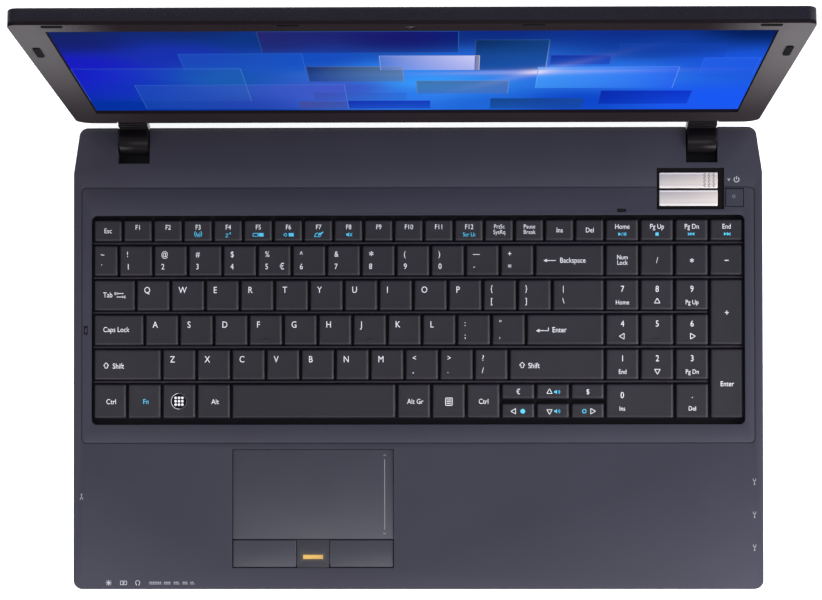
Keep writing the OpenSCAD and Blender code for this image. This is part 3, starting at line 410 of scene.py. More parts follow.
def finished(name, mesh, body, materials, replaced=(), smooth_angle=35):
    """Make a piece of a finished mesh, give it its finish, attach it to the body it rides on and hide the
    nodes it replaces.
    """
    piece = bpy.data.objects.new(name, mesh)
    bpy.context.scene.collection.objects.link(piece)
    mesh.materials.clear()
    for material in materials:
        mesh.materials.append(material)
    for face in mesh.polygons:
        face.use_smooth = True
    mesh.set_sharp_from_angle(angle=math.radians(smooth_angle))
    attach(piece, body)
    if replaced:
        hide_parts(*replaced)
    return piece


def baked(piece_or_object):
    """The mesh of an object with its modifiers applied."""
    depsgraph = bpy.context.evaluated_depsgraph_get()
    return bpy.data.meshes.new_from_object(piece_or_object.evaluated_get(depsgraph))


def soften(node, width, segments=2, wide_rule=None, wide=None, material=None):
    """A piece like the node with rounded edges, wider (in mm) where the rule says so."""
    mesh = nodes[node].data.copy()
    bm = bmesh.new()
    bm.from_mesh(mesh)
    bmesh.ops.remove_doubles(bm, verts=bm.verts, dist=SAME_SPOT)
    bmesh.ops.dissolve_limit(bm, angle_limit=math.radians(FLAT_ANGLE), verts=bm.verts, edges=bm.edges)
    weight = bm.edges.layers.float.new("bevel_weight_edge")
    top = wide or width
    for edge in bm.edges:
        if len(edge.link_faces) == 2 and edge.calc_face_angle(0) > math.radians(SHARP_ANGLE):
            broad = wide_rule and wide_rule(*(v.co for v in edge.verts))
            edge[weight] = 1.0 if broad else width / top
    bm.to_mesh(mesh)
    bm.free()
    draft = bpy.data.objects.new("draft", mesh)
    bpy.context.scene.collection.objects.link(draft)
    bevel = draft.modifiers.new("round", "BEVEL")
    bevel.limit_method = "WEIGHT"
    bevel.width = top * MM
    bevel.segments = segments
    bevel.use_clamp_overlap = True
    bevel.harden_normals = False
    shaped = baked(draft)
    bpy.data.objects.remove(draft)
    bm = bmesh.new()
    bm.from_mesh(shaped)
    bmesh.ops.triangulate(bm, faces=[f for f in bm.faces if len(f.verts) > 4])
    bm.to_mesh(shaped)
    bm.free()
    return finished(node + "_soft", shaped, body_of_node[node],
                    [material or FINISH[slot_of_node[node]]], [node], 25)


def report(*pieces):
    for piece in pieces:
        size = [round(v / MM, 1) for v in piece.dimensions]
        print(f"{piece.name}: {len(piece.data.polygons)} faces, {size} mm")


# node, width of the round in mm, steps of the round
for softened in (("hinge_arms", 0.8, 3), ("rubber_feet", 0.6, 2), ("battery_pack", 0.8, 2),
                 ("power_button", 0.35, 3), ("launch_button", 0.35, 3), ("touchpad_button_left", 0.5, 3),
                 ("touchpad_button_right", 0.5, 3), ("touchpad_plate", 0.3, 3), ("small_key", 0.35, 2),
                 ("lid_bumpers", 0.35, 3), ("eject_button", 0.3, 2)):
    report(soften(*softened))

# %% [markdown]
# The big shells come next. On the real lid the back cover curls round its rim in a wide soft radius,
# while the bezel in front of it has a crisp edge, and a fine joint line runs between them. The base's
# upper half has a small radius along its outer rim too. A rule picks those outer rims.

# %% Softened shells
LID_BACK = lid_box("lid_back_cover")[0].z
RIM_TOUCH = 0.1 * MM
LID_RIM_X, LID_RIM_Y = 0.17, 0.24


def on_lid_rim(a, b):
    """True for an edge on the back face of the lid, near its outline."""
    spots = [LID_INV @ p for p in (a, b)]
    return all(abs(p.z - LID_BACK) < RIM_TOUCH and (abs(p.x) > LID_RIM_X or p.y > LID_RIM_Y) for p in spots)


def on_deck_rim(a, b):
    return all(abs(p.z - DECK) < RIM_TOUCH and (abs(p.x) > SIDE - 3.5 * MM or p.y < FRONT + 1 * MM
               or p.y > REAR - 1 * MM) for p in (a, b))


report(soften("lid_back_cover", 0.3, 4, on_lid_rim, 2.2), soften("lid_bezel", 0.45, 3),
       soften("top_case", 0.25, 3, on_deck_rim, 0.9), soften("bottom_case", 0.3),
       soften("memory_cover", 0.25), soften("fingerprint_bezel", 0.2, material=FINGER_PLASTIC),
       soften("disc_tray", 0.3))

# %% [markdown]
# A keycap on this keyboard is a low pillow: upright skirt, sloped sides, a rounded rim, a shallow dish in
# the top, and a broader chamfer along its right side that reads as a bright line. All the caps share
# that section and differ only in width and depth, so one template cap is made for a ten millimetre cell
# and every other size is the same cap with its right and left, front and rear halves moved apart. The
# corners then keep their shape on the space bar and on the narrowest function key alike.
#
# The template's rings run from the skirt's foot up over the rim and into the dish. Its right side has its
# own line of points, steep at first and then sloped at some 37 degrees.

# %% Template keycap
TEMPLATE = 5 * MM      # half the template's side
SKIRT_Z = KEY_TOP - 3.2 * MM
RIM_DROP, DISH = 0.05 * MM, 0.11 * MM


def ring(inset, z, radius, right_inset=None, right_z=None, steps=4):
    """Corners of a rounded rectangle moved in by inset, with its right side at its own inset and height."""
    right_inset = inset if right_inset is None else right_inset
    right_z = z if right_z is None else right_z
    points = []
    for cx, cy, start in ((1, 1, 0), (-1, 1, 90), (-1, -1, 180), (1, -1, 270)):
        for k in range(steps):
            turn = k / (steps - 1)
            rightness = 0 if cx < 0 else (1 - turn if cy > 0 else turn)
            a = math.radians(start + 90 * turn)
            spot_inset = inset + (right_inset - inset) * rightness
            points.append((cx * (TEMPLATE - spot_inset - radius) + radius * math.cos(a),
                           cy * (TEMPLATE - inset - radius) + radius * math.sin(a),
                           z + (right_z - z) * rightness))
    return points


def close_loops(bm, loops):
    """Join rings of points, given from the bottom up, into one closed shape."""
    for low, high in zip(loops, loops[1:]):
        for i in range(len(low)):
            j = (i + 1) % len(low)
            bm.faces.new((low[i], low[j], high[j], high[i]))
    bm.faces.new(loops[-1])
    bm.faces.new(list(reversed(loops[0])))


def template_cap():
    # inset, height and corner radius of each ring, then the inset and height of its right side, in mm
    section = [(0, 0, 0.7, 0, 0), (0, 1.1, 0.7, 0, 1.1), (0.62, 2.55, 0.7, 0.12, 2.22),
               (0.72, 2.80, 0.7, 0.22, 2.36), (0.90, 3.02, 0.7, 1.12, 3.03), (1.12, 3.12, 0.65, 1.34, 3.13),
               (1.7, 3.15, 0.5, 1.9, 3.15), (3.4, 3.04, 0.3, 3.6, 3.04)]
    rings = [ring(*(value * MM for value in row)) for row in section]
    bm = bmesh.new()
    close_loops(bm, [[bm.verts.new((x, y, z + SKIRT_Z)) for x, y, z in spots] for spots in rings])
    mesh = bpy.data.meshes.new("template_cap")
    bm.to_mesh(mesh)
    bm.free()
    keep = mesh.attributes.new("spot", "FLOAT_VECTOR", "POINT")
    keep.data.foreach_set("vector", [c for v in mesh.vertices for c in v.co])
    return mesh


cap_source = bpy.data.objects.new("cap_source", template_cap())
bpy.context.scene.collection.objects.link(cap_source)
print("template cap:", len(cap_source.data.vertices), "points, dish", DISH / MM, "mm")

# %% [markdown]
# The Geometry Nodes tree takes a cloud of points, one in the middle of each key, that carry the key's
# half width and half depth. It puts the template on every point, turns the copies into real mesh, and
# pushes each point of the mesh outward by the sign of its place in the template. The named inputs set the
# template and the gap between caps, so one tree serves every row of keys. A tree's start, the copies on its
# points and its end are needed again for other repeats, so they are helpers of their own.

# %% Helpers for Geometry Nodes trees
def geometry_tree(name, inputs):
    """A tree from geometry to geometry with more named inputs, each of a kind and a default value. Gives
    the tree, the inputs' identifiers by name, and the outputs of its first node."""
    tree = bpy.data.node_groups.new(name, "GeometryNodeTree")
    identifiers = {}
    for label, (kind, value) in {"Geometry": ("Geometry", None), **inputs}.items():
        socket = tree.interface.new_socket(name=label, in_out="INPUT", socket_type="NodeSocket" + kind)
        identifiers[label] = socket.identifier
        if value is not None:
            socket.default_value = value
    tree.interface.new_socket(name="Geometry", in_out="OUTPUT", socket_type="NodeSocketGeometry")
    return tree, identifiers, add(tree, "NodeGroupInput").outputs


def copies_on_points(tree, start, inputs=None):
    """Real copies of the template, one on each point."""
    template = add(tree, "GeometryNodeObjectInfo", {"Object": start["Template"]})
    copies = add(tree, "GeometryNodeInstanceOnPoints", {
        "Points": start["Geometry"], "Instance": template.outputs["Geometry"], **(inputs or {})})
    real = add(tree, "GeometryNodeRealizeInstances", {"Geometry": copies.outputs["Instances"]})
    return real.outputs["Geometry"]


def coated_end(tree, start, geometry):
    """Close a tree: all its geometry made real and given the finish."""
    real = add(tree, "GeometryNodeRealizeInstances", {"Geometry": geometry})
    coat = add(tree, "GeometryNodeSetMaterial", {"Geometry": real.outputs[0], "Material": start["Finish"]})
    add(tree, "NodeGroupOutput", {"Geometry": coat.outputs["Geometry"]})


print("helpers:", geometry_tree.__name__, copies_on_points.__name__, coated_end.__name__)

# %% [markdown]
# With those helpers the keycap tree is short: copies of the template, then one sum for each axis that tells
# how far a point of the cap moves outward.

# %% Keycap tree
def keycap_tree():
    tree, identifiers, start = geometry_tree("keycaps_on_points", {
        "Template": ("Object", None), "Side Gap": ("Float", SIDE_GAP), "Line Gap": ("Float", LINE_GAP),
        "Finish": ("Material", None)})
    caps = copies_on_points(tree, start)

    def field(name, kind):
        node = add(tree, "GeometryNodeInputNamedAttribute", {"Name": name}, data_type=kind)
        return node.outputs["Attribute"]

    spot = add(tree, "ShaderNodeSeparateXYZ", {0: field("spot", "FLOAT_VECTOR")})
    shift = {}
    for axis, size, gap in (("X", "half_width", "Side Gap"), ("Y", "half_depth", "Line Gap")):
        half = maths(tree, "SUBTRACT", field(size, "FLOAT"), maths(tree, "MULTIPLY", start[gap], 0.5))
        growth = maths(tree, "SUBTRACT", half, TEMPLATE)
        shift[axis] = maths(tree, "MULTIPLY", maths(tree, "SIGN", spot.outputs[axis]), growth)
    push = add(tree, "ShaderNodeCombineXYZ", shift)
    moved = add(tree, "GeometryNodeSetPosition", {"Geometry": caps, "Offset": push.outputs[0]})
    coated_end(tree, start, moved.outputs["Geometry"])
    return tree, identifiers


KEYCAPS = keycap_tree()


def point_cloud(name, spots, **fields):
    """A mesh of loose points that carry one number each for every named field."""
    mesh = bpy.data.meshes.new(name)
    mesh.from_pydata([tuple(s) for s in spots], [], [])
    for field_name, values in fields.items():
        mesh.attributes.new(field_name, "FLOAT", "POINT").data.foreach_set("value", values)
    cloud = bpy.data.objects.new(name, mesh)
    bpy.context.scene.collection.objects.link(cloud)
    return cloud


def grown(cloud, tree_and_identifiers, inputs):
    """The plain mesh that a Geometry Nodes tree makes of a cloud, which is removed afterwards."""
    tree, identifiers = tree_and_identifiers
    modifier = cloud.modifiers.new("grow", "NODES")
    modifier.node_group = tree
    for name, value in inputs.items():
        modifier[identifiers[name]] = value
    cloud.update_tag()
    mesh = baked(cloud)
    bpy.data.objects.remove(cloud)
    return mesh


print("tree inputs:", list(KEYCAPS[1]))

# %% [markdown]
# The grid itself is a short list. A row is a list of widths in key units from the left edge, each row
# starts one pitch further to the front, and the function row has narrower cells. Each entry says which
# body the key rides on, because the wide keys move by themselves while the others go down as a row.

# %% The key grid
MAIN_U = 14.77
F_CELLS = 17
F_DEPTH = all_high.y - all_low.y + LINE_GAP
last_low, last_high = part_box("space_bar")
LAST_DEPTH = last_high.y - last_low.y + LINE_GAP


def cell(name, body, x, y, w, d):
    """A key's cell: x and y of its rear left corner in metres from the grid's corner."""
    return {"name": name, "body": body, "x": KX + x, "y": KY - y, "w": w, "d": d}


def row_of(names, widths, line, bodies):
    cells, x = [], 0
    for name, width, body in zip(names, widths, bodies):
        cells.append(cell(name, body, x * PITCH, line * PITCH, width * PITCH,
                          LAST_DEPTH if line == 4 else PITCH))
        x += width
    return cells


def build_grid():
    grid = []
    f_names = ["Esc"] + [f"F{i}" for i in range(1, 13)] + ["PrtSc", "Pause", "Ins", "Del"]
    for i, name in enumerate(f_names):
        grid.append(cell(name, "function_row", i * MAIN_U / F_CELLS * PITCH, -F_DEPTH,
                         MAIN_U / F_CELLS * PITCH, F_DEPTH))
    for i, name in enumerate(("Home", "PgUp", "PgDn", "End")):
        grid.append(cell(name, "function_row", (MAIN_U + i) * PITCH, -F_DEPTH, PITCH, F_DEPTH))
    ones = [1] * 12
    grid += row_of(list("`1234567890-=") + ["Backspace"], [0.75] + ones + [MAIN_U - 12.75], 0,
                   ["number_row"] * 13 + ["backspace_cap"])
    grid += row_of(["Tab"] + list("QWERTYUIOP[]") + ["\\"], [1.25] + ones + [MAIN_U - 13.25], 1,
                   ["tab_cap"] + ["top_letter_row"] * 13)
    grid += row_of(["Caps"] + list("ASDFGHJKL;'") + ["Enter"], [1.5] + [1] * 11 + [MAIN_U - 12.5], 2,
                   ["caps_lock_cap"] + ["home_letter_row"] * 11 + ["enter_cap"])
    grid += row_of(["ShiftL"] + list("ZXCVBNM,./") + ["ShiftR"], [2] + [1] * 10 + [MAIN_U - 12], 3,
                   ["left_shift_cap"] + ["bottom_letter_row"] * 10 + ["right_shift_cap"])
    grid += row_of(["Ctrl", "Fn", "Round", "Alt", "Space", "AltGr", "Menu", "CtrlR"],
                   [1, 1, 1, 1, MAIN_U - 10, 1, 1, 1], 4,
                   ["modifier_row"] * 4 + ["space_cap"] + ["modifier_row"] * 3)
    for i, name in enumerate(("Euro", "Up", "Dollar", "Left", "Down", "Right")):
        grid.append(cell(name, "arrow_row", (MAIN_U - 3 + i % 3) * PITCH,
                         4 * PITCH + i // 3 * LAST_DEPTH / 2, PITCH, LAST_DEPTH / 2))
    for i, name in enumerate(("NumLock", "N/", "N*", "N7", "N8", "N9", "N4", "N5", "N6", "N1", "N2", "N3")):
        grid.append(cell(name, "numpad_row", (MAIN_U + i % 3) * PITCH, i // 3 * PITCH, PITCH, PITCH))
    grid.append(cell("N-", "numpad_row", (MAIN_U + 3) * PITCH, 0, PITCH, PITCH))
    grid.append(cell("N.", "numpad_row", (MAIN_U + 2) * PITCH, 4 * PITCH, PITCH, LAST_DEPTH))
    grid.append(cell("N+", "numpad_plus_cap", (MAIN_U + 3) * PITCH, PITCH, PITCH, 2 * PITCH))
    grid.append(cell("NEnter", "numpad_enter_cap", (MAIN_U + 3) * PITCH, 3 * PITCH, PITCH,
                     PITCH + LAST_DEPTH))
    grid.append(cell("N0", "numpad_zero_cap", MAIN_U * PITCH, 4 * PITCH, 2 * PITCH, LAST_DEPTH))
    return grid


GRID = build_grid()
KEY_BODIES = sorted({key["body"] for key in GRID})
node_of_body = {b: names[0] for b, names in frame["record"]["behaviour"]["bodies"].items()}

# %% Grow the keycaps, one piece for each body
for body in KEY_BODIES:
    keys = [key for key in GRID if key["body"] == body]
    cloud = point_cloud("cap_points", [(k["x"] + k["w"] / 2, k["y"] - k["d"] / 2, 0) for k in keys],
                        half_width=[k["w"] / 2 for k in keys], half_depth=[k["d"] / 2 for k in keys])
    caps = grown(cloud, KEYCAPS, {"Template": cap_source, "Side Gap": SIDE_GAP, "Line Gap": LINE_GAP,
                                  "Finish": KEY_PLASTIC})
    report(finished("caps_" + body, caps, body, [KEY_PLASTIC], [node_of_body[body]], 28))
bpy.data.objects.remove(cap_source)

# %% [markdown]
# Between two rows of keys the plate under them rises in a low rail, which shows as a lighter band between
# two dark lines. The F, J and 5 keys carry a small ridge for the fingers to find. Both are the same plain
# shape, a bar with rounded ends and a round top, so one helper makes them from a list.

# %% Rails between the rows and ridges on the home keys
def round_bar(bm, low, high, soft):
    """A bar between two corners whose upper edges are rounded."""
    x0, y0, z0 = low
    x1, y1, z1 = high
    turns = [math.radians(a) for a in (30, 60, 90)]
    levels = [(0, z0), (0, z1 - soft)]
    levels += [(soft * (1 - math.cos(a)), z1 - soft + soft * math.sin(a)) for a in turns]
    close_loops(bm, [[bm.verts.new(p) for p in ((x0 + inset, y0 + inset, z), (x1 - inset, y0 + inset, z),
                                                (x1 - inset, y1 - inset, z), (x0 + inset, y1 - inset, z))]
                     for inset, z in levels])


def bars_piece(name, bars, body, material, soft, replaced=()):
    bm = bmesh.new()
    for low, high in bars:
        round_bar(bm, low, high, soft)
    bmesh.ops.recalc_face_normals(bm, faces=bm.faces)
    mesh = bpy.data.meshes.new(name)
    bm.to_mesh(mesh)
    bm.free()
    return finished(name, mesh, body, [material], replaced)


PLATE_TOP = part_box("keyboard_plate")[1].z
RAIL_FINISH = surface("rail_paint", (0.017, 0.014, 0.020), (0.35, 0.5), 0.3, 0.006, 0.1, specular=0.15)
RAIL_HALF, RAIL_TOP = 0.55 * MM, KEY_TOP - 1.5 * MM
# columns of the numeric block that each rail passes, and how far its end stops short, in mm
rails = []
for line, (columns_passed, short) in enumerate(((4, 0.4), (4, 0.4), (3, 0.9), (4, 0.9), (3, 0.9))):
    y = KY - line * PITCH
    rails.append(((KX + 0.4 * MM, y - RAIL_HALF, PLATE_TOP),
                  (KX + (MAIN_U + columns_passed) * PITCH - short * MM, y + RAIL_HALF, RAIL_TOP)))
report(bars_piece("row_rails", rails, "base", RAIL_FINISH, 0.25 * MM))

RIDGE_HALF = 1.6 * MM
RIDGE_FRONT, RIDGE_REAR = 3.6 * MM, 4.3 * MM
RIDGE_FOOT, RIDGE_TOP = KEY_TOP - 0.3 * MM, KEY_TOP + 0.15 * MM
key_of = {key["name"]: key for key in GRID}
for piece_name, body, names in (("five_ridge", "numpad_row", ("N5",)),
                                ("home_ridges", "home_letter_row", ("F", "J"))):
    ridges = []
    for name in names:
        middle, front = key_of[name]["x"] + PITCH / 2, key_of[name]["y"] - PITCH
        ridges.append(((middle - RIDGE_HALF, front + RIDGE_FRONT, RIDGE_FOOT),
                       (middle + RIDGE_HALF, front + RIDGE_REAR, RIDGE_TOP)))
    report(bars_piece(piece_name, ridges, body, KEY_PLASTIC, 0.2 * MM))

# %% [markdown]
# Legends are printed in a thin layer of ink on the caps. As real letters they can be made from a font and
# laid on the key: each is a flat text curve, turned into mesh, then set down a hundredth of a millimetre
# above the dish, point by point, so that it follows the hollow. A painted texture would blur when the
# camera comes close. The ink gets its own finish, white for the normal legends and cyan for the second
# functions.

# %% Ink finishes
def ink(name, colour):
    return surface(name, colour, (0.5, 0.6), 0.4, 0.002, 0.04)


WHITE_INK = ink("white_ink", (0.60, 0.60, 0.62))
CYAN_INK = ink("cyan_ink", (0.05, 0.42, 0.62))
GREY_INK = ink("grey_ink", (0.17, 0.17, 0.20))
INK_T = 0.02 * MM
print("inks:", WHITE_INK.name, CYAN_INK.name, GREY_INK.name)

# %% [markdown]
# A small sheet collects all the ink that lies on one body: letters, and drawn symbols made of plain
# polygons. It keeps the triangles of each colour apart and drops them onto a height that a function gives.

# %% A sheet of printing
class Printing:
    """Flat letters and symbols, gathered for one body."""

    def __init__(self):
        self.points, self.faces, self.colours = [], [], []

    def polygon(self, corners, colour=0):
        base = len(self.points)
        if sum(a[0] * b[1] - b[0] * a[1] for a, b in zip(corners, corners[1:] + corners[:1])) < 0:
            corners = corners[::-1]
        self.points += [tuple(c) for c in corners]
        self.faces.append(tuple(range(base, base + len(corners))))
        self.colours.append(colour)

    def bar(self, x0, y0, x1, y1, colour=0):
        self.polygon([(x0, y0), (x1, y0), (x1, y1), (x0, y1)], colour)

    def line(self, a, b, thick, colour=0):
        ax, ay, bx, by = *a, *b
        length = math.hypot(bx - ax, by - ay)
        nx, ny = -(by - ay) / length * thick / 2, (bx - ax) / length * thick / 2
        self.polygon([(ax - nx, ay - ny), (bx - nx, by - ny), (bx + nx, by + ny), (ax + nx, ay + ny)], colour)

    def arc(self, centre, radius, thick, start=0, stop=360, colour=0, steps=24):
        for k in range(steps):
            a0, a1 = (math.radians(start + (stop - start) * q / steps) for q in (k, k + 1))
            self.polygon([(centre[0] + r * math.cos(a), centre[1] + r * math.sin(a))
                          for r, a in ((radius - thick / 2, a0), (radius + thick / 2, a0),
                                       (radius + thick / 2, a1), (radius - thick / 2, a1))], colour)

    def disc(self, centre, radius, colour=0, steps=20):
        self.polygon([(centre[0] + radius * math.cos(2 * math.pi * k / steps),
                       centre[1] + radius * math.sin(2 * math.pi * k / steps)) for k in range(steps)], colour)

    def text(self, words, x, y, size, colour=0, align="LEFT", narrow=0.86, bold=0.0):
        curve = bpy.data.curves.new("words", "FONT")
        curve.body = words
        curve.size = size
        curve.align_x = align
        curve.resolution_u = 3
        curve.offset = bold * size
        holder = bpy.data.objects.new("words", curve)
        bpy.context.scene.collection.objects.link(holder)
        letters = baked(holder)
        base = len(self.points)
        self.points += [(x + v.co.x * narrow, y + v.co.y) for v in letters.vertices]
        for face in letters.polygons:
            self.faces.append(tuple(base + i for i in face.vertices))
            self.colours.append(colour)
        bpy.data.objects.remove(holder)
        bpy.data.curves.remove(curve)
        bpy.data.meshes.remove(letters)

    def piece(self, name, body, slot, inks, height, place=None):
        """Lay the ink down: height(x, y) is the surface under it, place turns the result."""
        mesh = bpy.data.meshes.new(name)
        mesh.from_pydata([(x, y, height(x, y) + INK_T) for x, y in self.points], [], self.faces)
        if place:
            mesh.transform(place)
        made = finished(name, mesh, body, inks)
        mesh.polygons.foreach_set("material_index", self.colours)
        return made


# %% [markdown]
# Most of the drawing is done in millimetres about some point, such as a key's middle or its rear left
# corner. A pen keeps that point and a colour, and hands its strokes on to the sheet in metres.

# %% A pen in millimetres
STROKE = 0.34      # usual thickness of a line in mm


class Pen:
    """Draws on a sheet in millimetres from a starting point, in one colour."""

    def __init__(self, sheet, x, y, colour=0):
        self.sheet, self.x, self.y, self.colour = sheet, x, y, colour

    def moved(self, x=0, y=0, colour=None):
        return Pen(self.sheet, *self.spot(x, y), self.colour if colour is None else colour)

    def spot(self, x, y):
        return self.x + x * MM, self.y + y * MM

    def line(self, x0, y0, x1, y1, thick):
        self.sheet.line(self.spot(x0, y0), self.spot(x1, y1), thick * MM, self.colour)

    def bar(self, x0, y0, x1, y1):
        self.sheet.bar(*self.spot(x0, y0), *self.spot(x1, y1), self.colour)

    def area(self, *corners):
        self.sheet.polygon([self.spot(*corner) for corner in corners], self.colour)

    def outline(self, thick, *corners):
        for a, b in zip(corners, corners[1:] + corners[:1]):
            self.line(*a, *b, thick)

    def arc(self, x, y, radius, thick, start=0, stop=360, steps=24):
        self.sheet.arc(self.spot(x, y), radius * MM, thick * MM, start, stop, self.colour, steps)

    def disc(self, x, y, radius, steps=20):
        self.sheet.disc(self.spot(x, y), radius * MM, self.colour, steps)

    def triangle(self, x, y, size, towards, hollow=True):
        start = {"right": 0, "up": 90, "left": 180, "down": 270}[towards]
        turns = [math.radians(start + a) for a in (0, 120, 240)]
        corners = [(x + size * math.cos(a), y + size * math.sin(a)) for a in turns]
        if hollow:
            self.outline(STROKE, *corners)
        else:
            self.area(*corners)

    def star(self, x, y, reach):
        for angle in (90, 30, -30):
            dx, dy = reach * math.cos(math.radians(angle)), reach * math.sin(math.radians(angle))
            self.line(x - dx, y - dy, x + dx, y + dy, 0.4)

    def text(self, words, x, y, size, align="CENTER", bold=0.0):
        self.sheet.text(words, *self.spot(x, y), size * MM, self.colour, align, bold=bold)


print("pen strokes of", STROKE, "mm")

# %% [markdown]
# Where each legend sits depends on the kind of key. Letter keys carry one letter near the upper left.
# Two-line keys stack the shifted sign over the plain one, left of the middle. Function keys, the numeric
# block and the modifiers have their words centred. Sizes are the usual ones: letters of about 3 mm, words
# of about 2 mm. The wide keys have words and a small arrow side by side.

# %% Tables of the legends
LETTER, SIGN, WORD, SMALL = 5.0, 4.4, 3.95, 3.5      # sizes of the letters' font in mm
CYAN = 1      # number of the cyan ink; 0 is the white one
TWO_LINE = {"`": "~`", "1": "!1", "2": "@2", "3": "#3", "4": "$4", "5": "%5", "6": "^6", "7": "&7",
            "8": "*8", "9": "(9", "0": ")0", "-": "—-", "=": "+=", "[": "{[", "]": "}]", "\\": "|\\",
            ";": ":;", "'": "\"'", ",": "<,", ".": ">.", "/": "?/"}
CENTRED = {"Esc": "Esc", "Ins": "Ins", "Del": "Del", "Ctrl": "Ctrl", "CtrlR": "Ctrl", "Alt": "Alt",
           "AltGr": "Alt Gr", "N/": "/", "N*": "*", "N-": "-", "N+": "+", "NEnter": "Enter",
           "NumLock": "Num\nLock", "PrtSc": "PrtSc\nSysRq", "Pause": "Pause\nBreak", "PgUp": "Pg Up",
           "PgDn": "Pg Dn", "Euro": "€", "Dollar": "$"}
NUMPAD = {"N7": ("7", "Home"), "N8": ("8", "up"), "N9": ("9", "Pg Up"), "N4": ("4", "left"),
          "N5": ("5", ""), "N6": ("6", "right"), "N1": ("1", "End"), "N2": ("2", "down"),
          "N3": ("3", "Pg Dn"), "N0": ("0", "Ins"), "N.": (".", "Del")}
# the arrow keys: the triangle's place and direction
ARROWS = {"Up": (-2.0, "up"), "Down": (-2.0, "down"), "Left": (-2.4, "left"), "Right": (2.4, "right")}
print("legends with two signs:", len(TWO_LINE), "centred:", len(CENTRED), "numeric:", len(NUMPAD))

# %% [markdown]
# The second functions are small cyan symbols: aerial, sleep, displays, screen off, touchpad, sound and the
# player's marks. Each is a handful of strokes round a middle point.

# %% Symbols of the second functions
def sound(pen):
    pen.area((-1.3, -0.5), (-0.6, -0.5), (0.2, -1.2), (0.2, 1.2), (-0.6, 0.5), (-1.3, 0.5))


def sound_waves(pen):
    sound(pen)
    for radius in (1.0, 1.7):
        pen.arc(0.1, 0, radius, 0.28, -40, 40, 8)


def second_function(pen, name):
    if name == "F3":
        for side in (-0.7, 0.7):
            pen.line(side, -1.3, 0, 0.6, 0.32)
        for side in (0, 180):
            for radius in (1.1, 2.0):
                pen.arc(0, 0.5, radius, STROKE, side - 48, side + 48, 8)
    elif name == "F4":
        for x, y, size in ((-0.7, -0.4, 1.5), (1.1, 0.8, 0.8)):
            left, right, low, high = x - size / 2, x + size / 2, y - size * 0.55, y + size * 0.55
            for ends in ((left, high, right, high), (left, low, right, low), (left, low, right, high)):
                pen.line(*ends, 0.3)
    elif name in ("F5", "F6"):
        if name == "F5":
            for ends in ((-2.9, -0.8, -0.2, -0.8), (-2.9, 0.8, -0.2, 0.8), (-2.9, -0.9, -2.9, 0.9),
                         (-0.2, -0.9, -0.2, 0.9)):
                pen.line(*ends, 0.32)
        else:
            pen.arc(-1.6, 0, 0.75, 0.35, steps=12)
            pen.line(-2.9, 0, -2.5, 0, 0.35)
        pen.bar(0.2, -0.95, 2.9, 0.95)
    elif name == "F7":
        pen.outline(STROKE, (-2.3, -1.1), (0.9, -1.1), (1.8, 0.8), (-1.4, 0.8))
        pen.line(-0.2, -0.4, 2.6, 1.5, 0.6)
    elif name == "F8":
        sound(pen)
        for y in (-0.9, 0.9):
            pen.line(0.6, -y, 1.9, y, 0.32)
    elif name == "F12":
        pen.text("Scr Lk", 0, -1.1, 3.2)
    elif name == "Home":
        pen.triangle(-1.6, 0, 1.1, "right", False)
        pen.line(-0.4, -0.9, 0.1, 0.9, 0.28)
        for x in (0.8, 1.7):
            pen.bar(x, -0.85, x + 0.5, 0.85)
    elif name == "PgUp":
        pen.bar(-0.85, -0.85, 0.85, 0.85)
    elif name in ("PgDn", "End"):
        side, towards = (-1, "left") if name == "PgDn" else (1, "right")
        for x in (-0.9, 0.7):
            pen.triangle(side * x, 0, 1.05, towards, False)
        pen.bar(side * 1.9 - 0.2, -0.85, side * 1.9 + 0.2, 0.85)


print("second functions on F3 to F8, F12, Home, PgUp, PgDn and End")

# %% Words on the keys
def function_legend(middle, name):
    words = CENTRED.get(name, name)
    if "\n" in words:
        for k, part in enumerate(words.split("\n")):
            middle.text(part, 0, 1.2 - 3.0 * k, 3.3, bold=-0.004)
    else:
        middle.text(words, 0, -1.0 if name in ("Esc", "Ins", "Del") else 0.9, 3.8)
    second_function(middle.moved(0, -2.0, CYAN), name)


def two_line_legend(corner, name):
    upper, lower = TWO_LINE[name]
    x = 5.0 if name == "\\" else 3.6
    if upper == "*":
        corner.star(x + 1.3, -4.6, 1.35)
    else:
        corner.text(upper, x, -6.3, SIGN, "LEFT")
    corner.text(lower, x, -15.6 if name == "'" else -13.1, SIGN, "LEFT")
    if name == "5":
        corner.text("€", 11.6, -13.2, 4.9, "LEFT")


def number_legend(pen, name):
    digit, under = NUMPAD[name]
    pen.text(digit, 0, 1.9, 4.8)
    if under in ("up", "down", "left", "right"):
        pen.triangle(0, -3.4, 1.8, under)
    elif under:
        pen.text(under, 0, -5.0, SMALL)


print("keys with two signs:", len(TWO_LINE), "numeric keys:", len(NUMPAD))

# %% [markdown]
# Wide keys start their words near the left and add an arrow: a hollow one for shift, a long one for enter
# and backspace, two against stops for tab. The arrow keys have a hollow triangle and a cyan sign beside it.

# %% Words and arrows on the wide keys
WIDE_KEYS = ("ShiftL", "ShiftR", "Caps", "Tab", "Enter", "Backspace")


def long_arrow(pen):
    pen.line(0, 0, 5.6, 0, STROKE)
    pen.area((-1.2, 0), (0.72, 0.9), (0.72, -0.9))


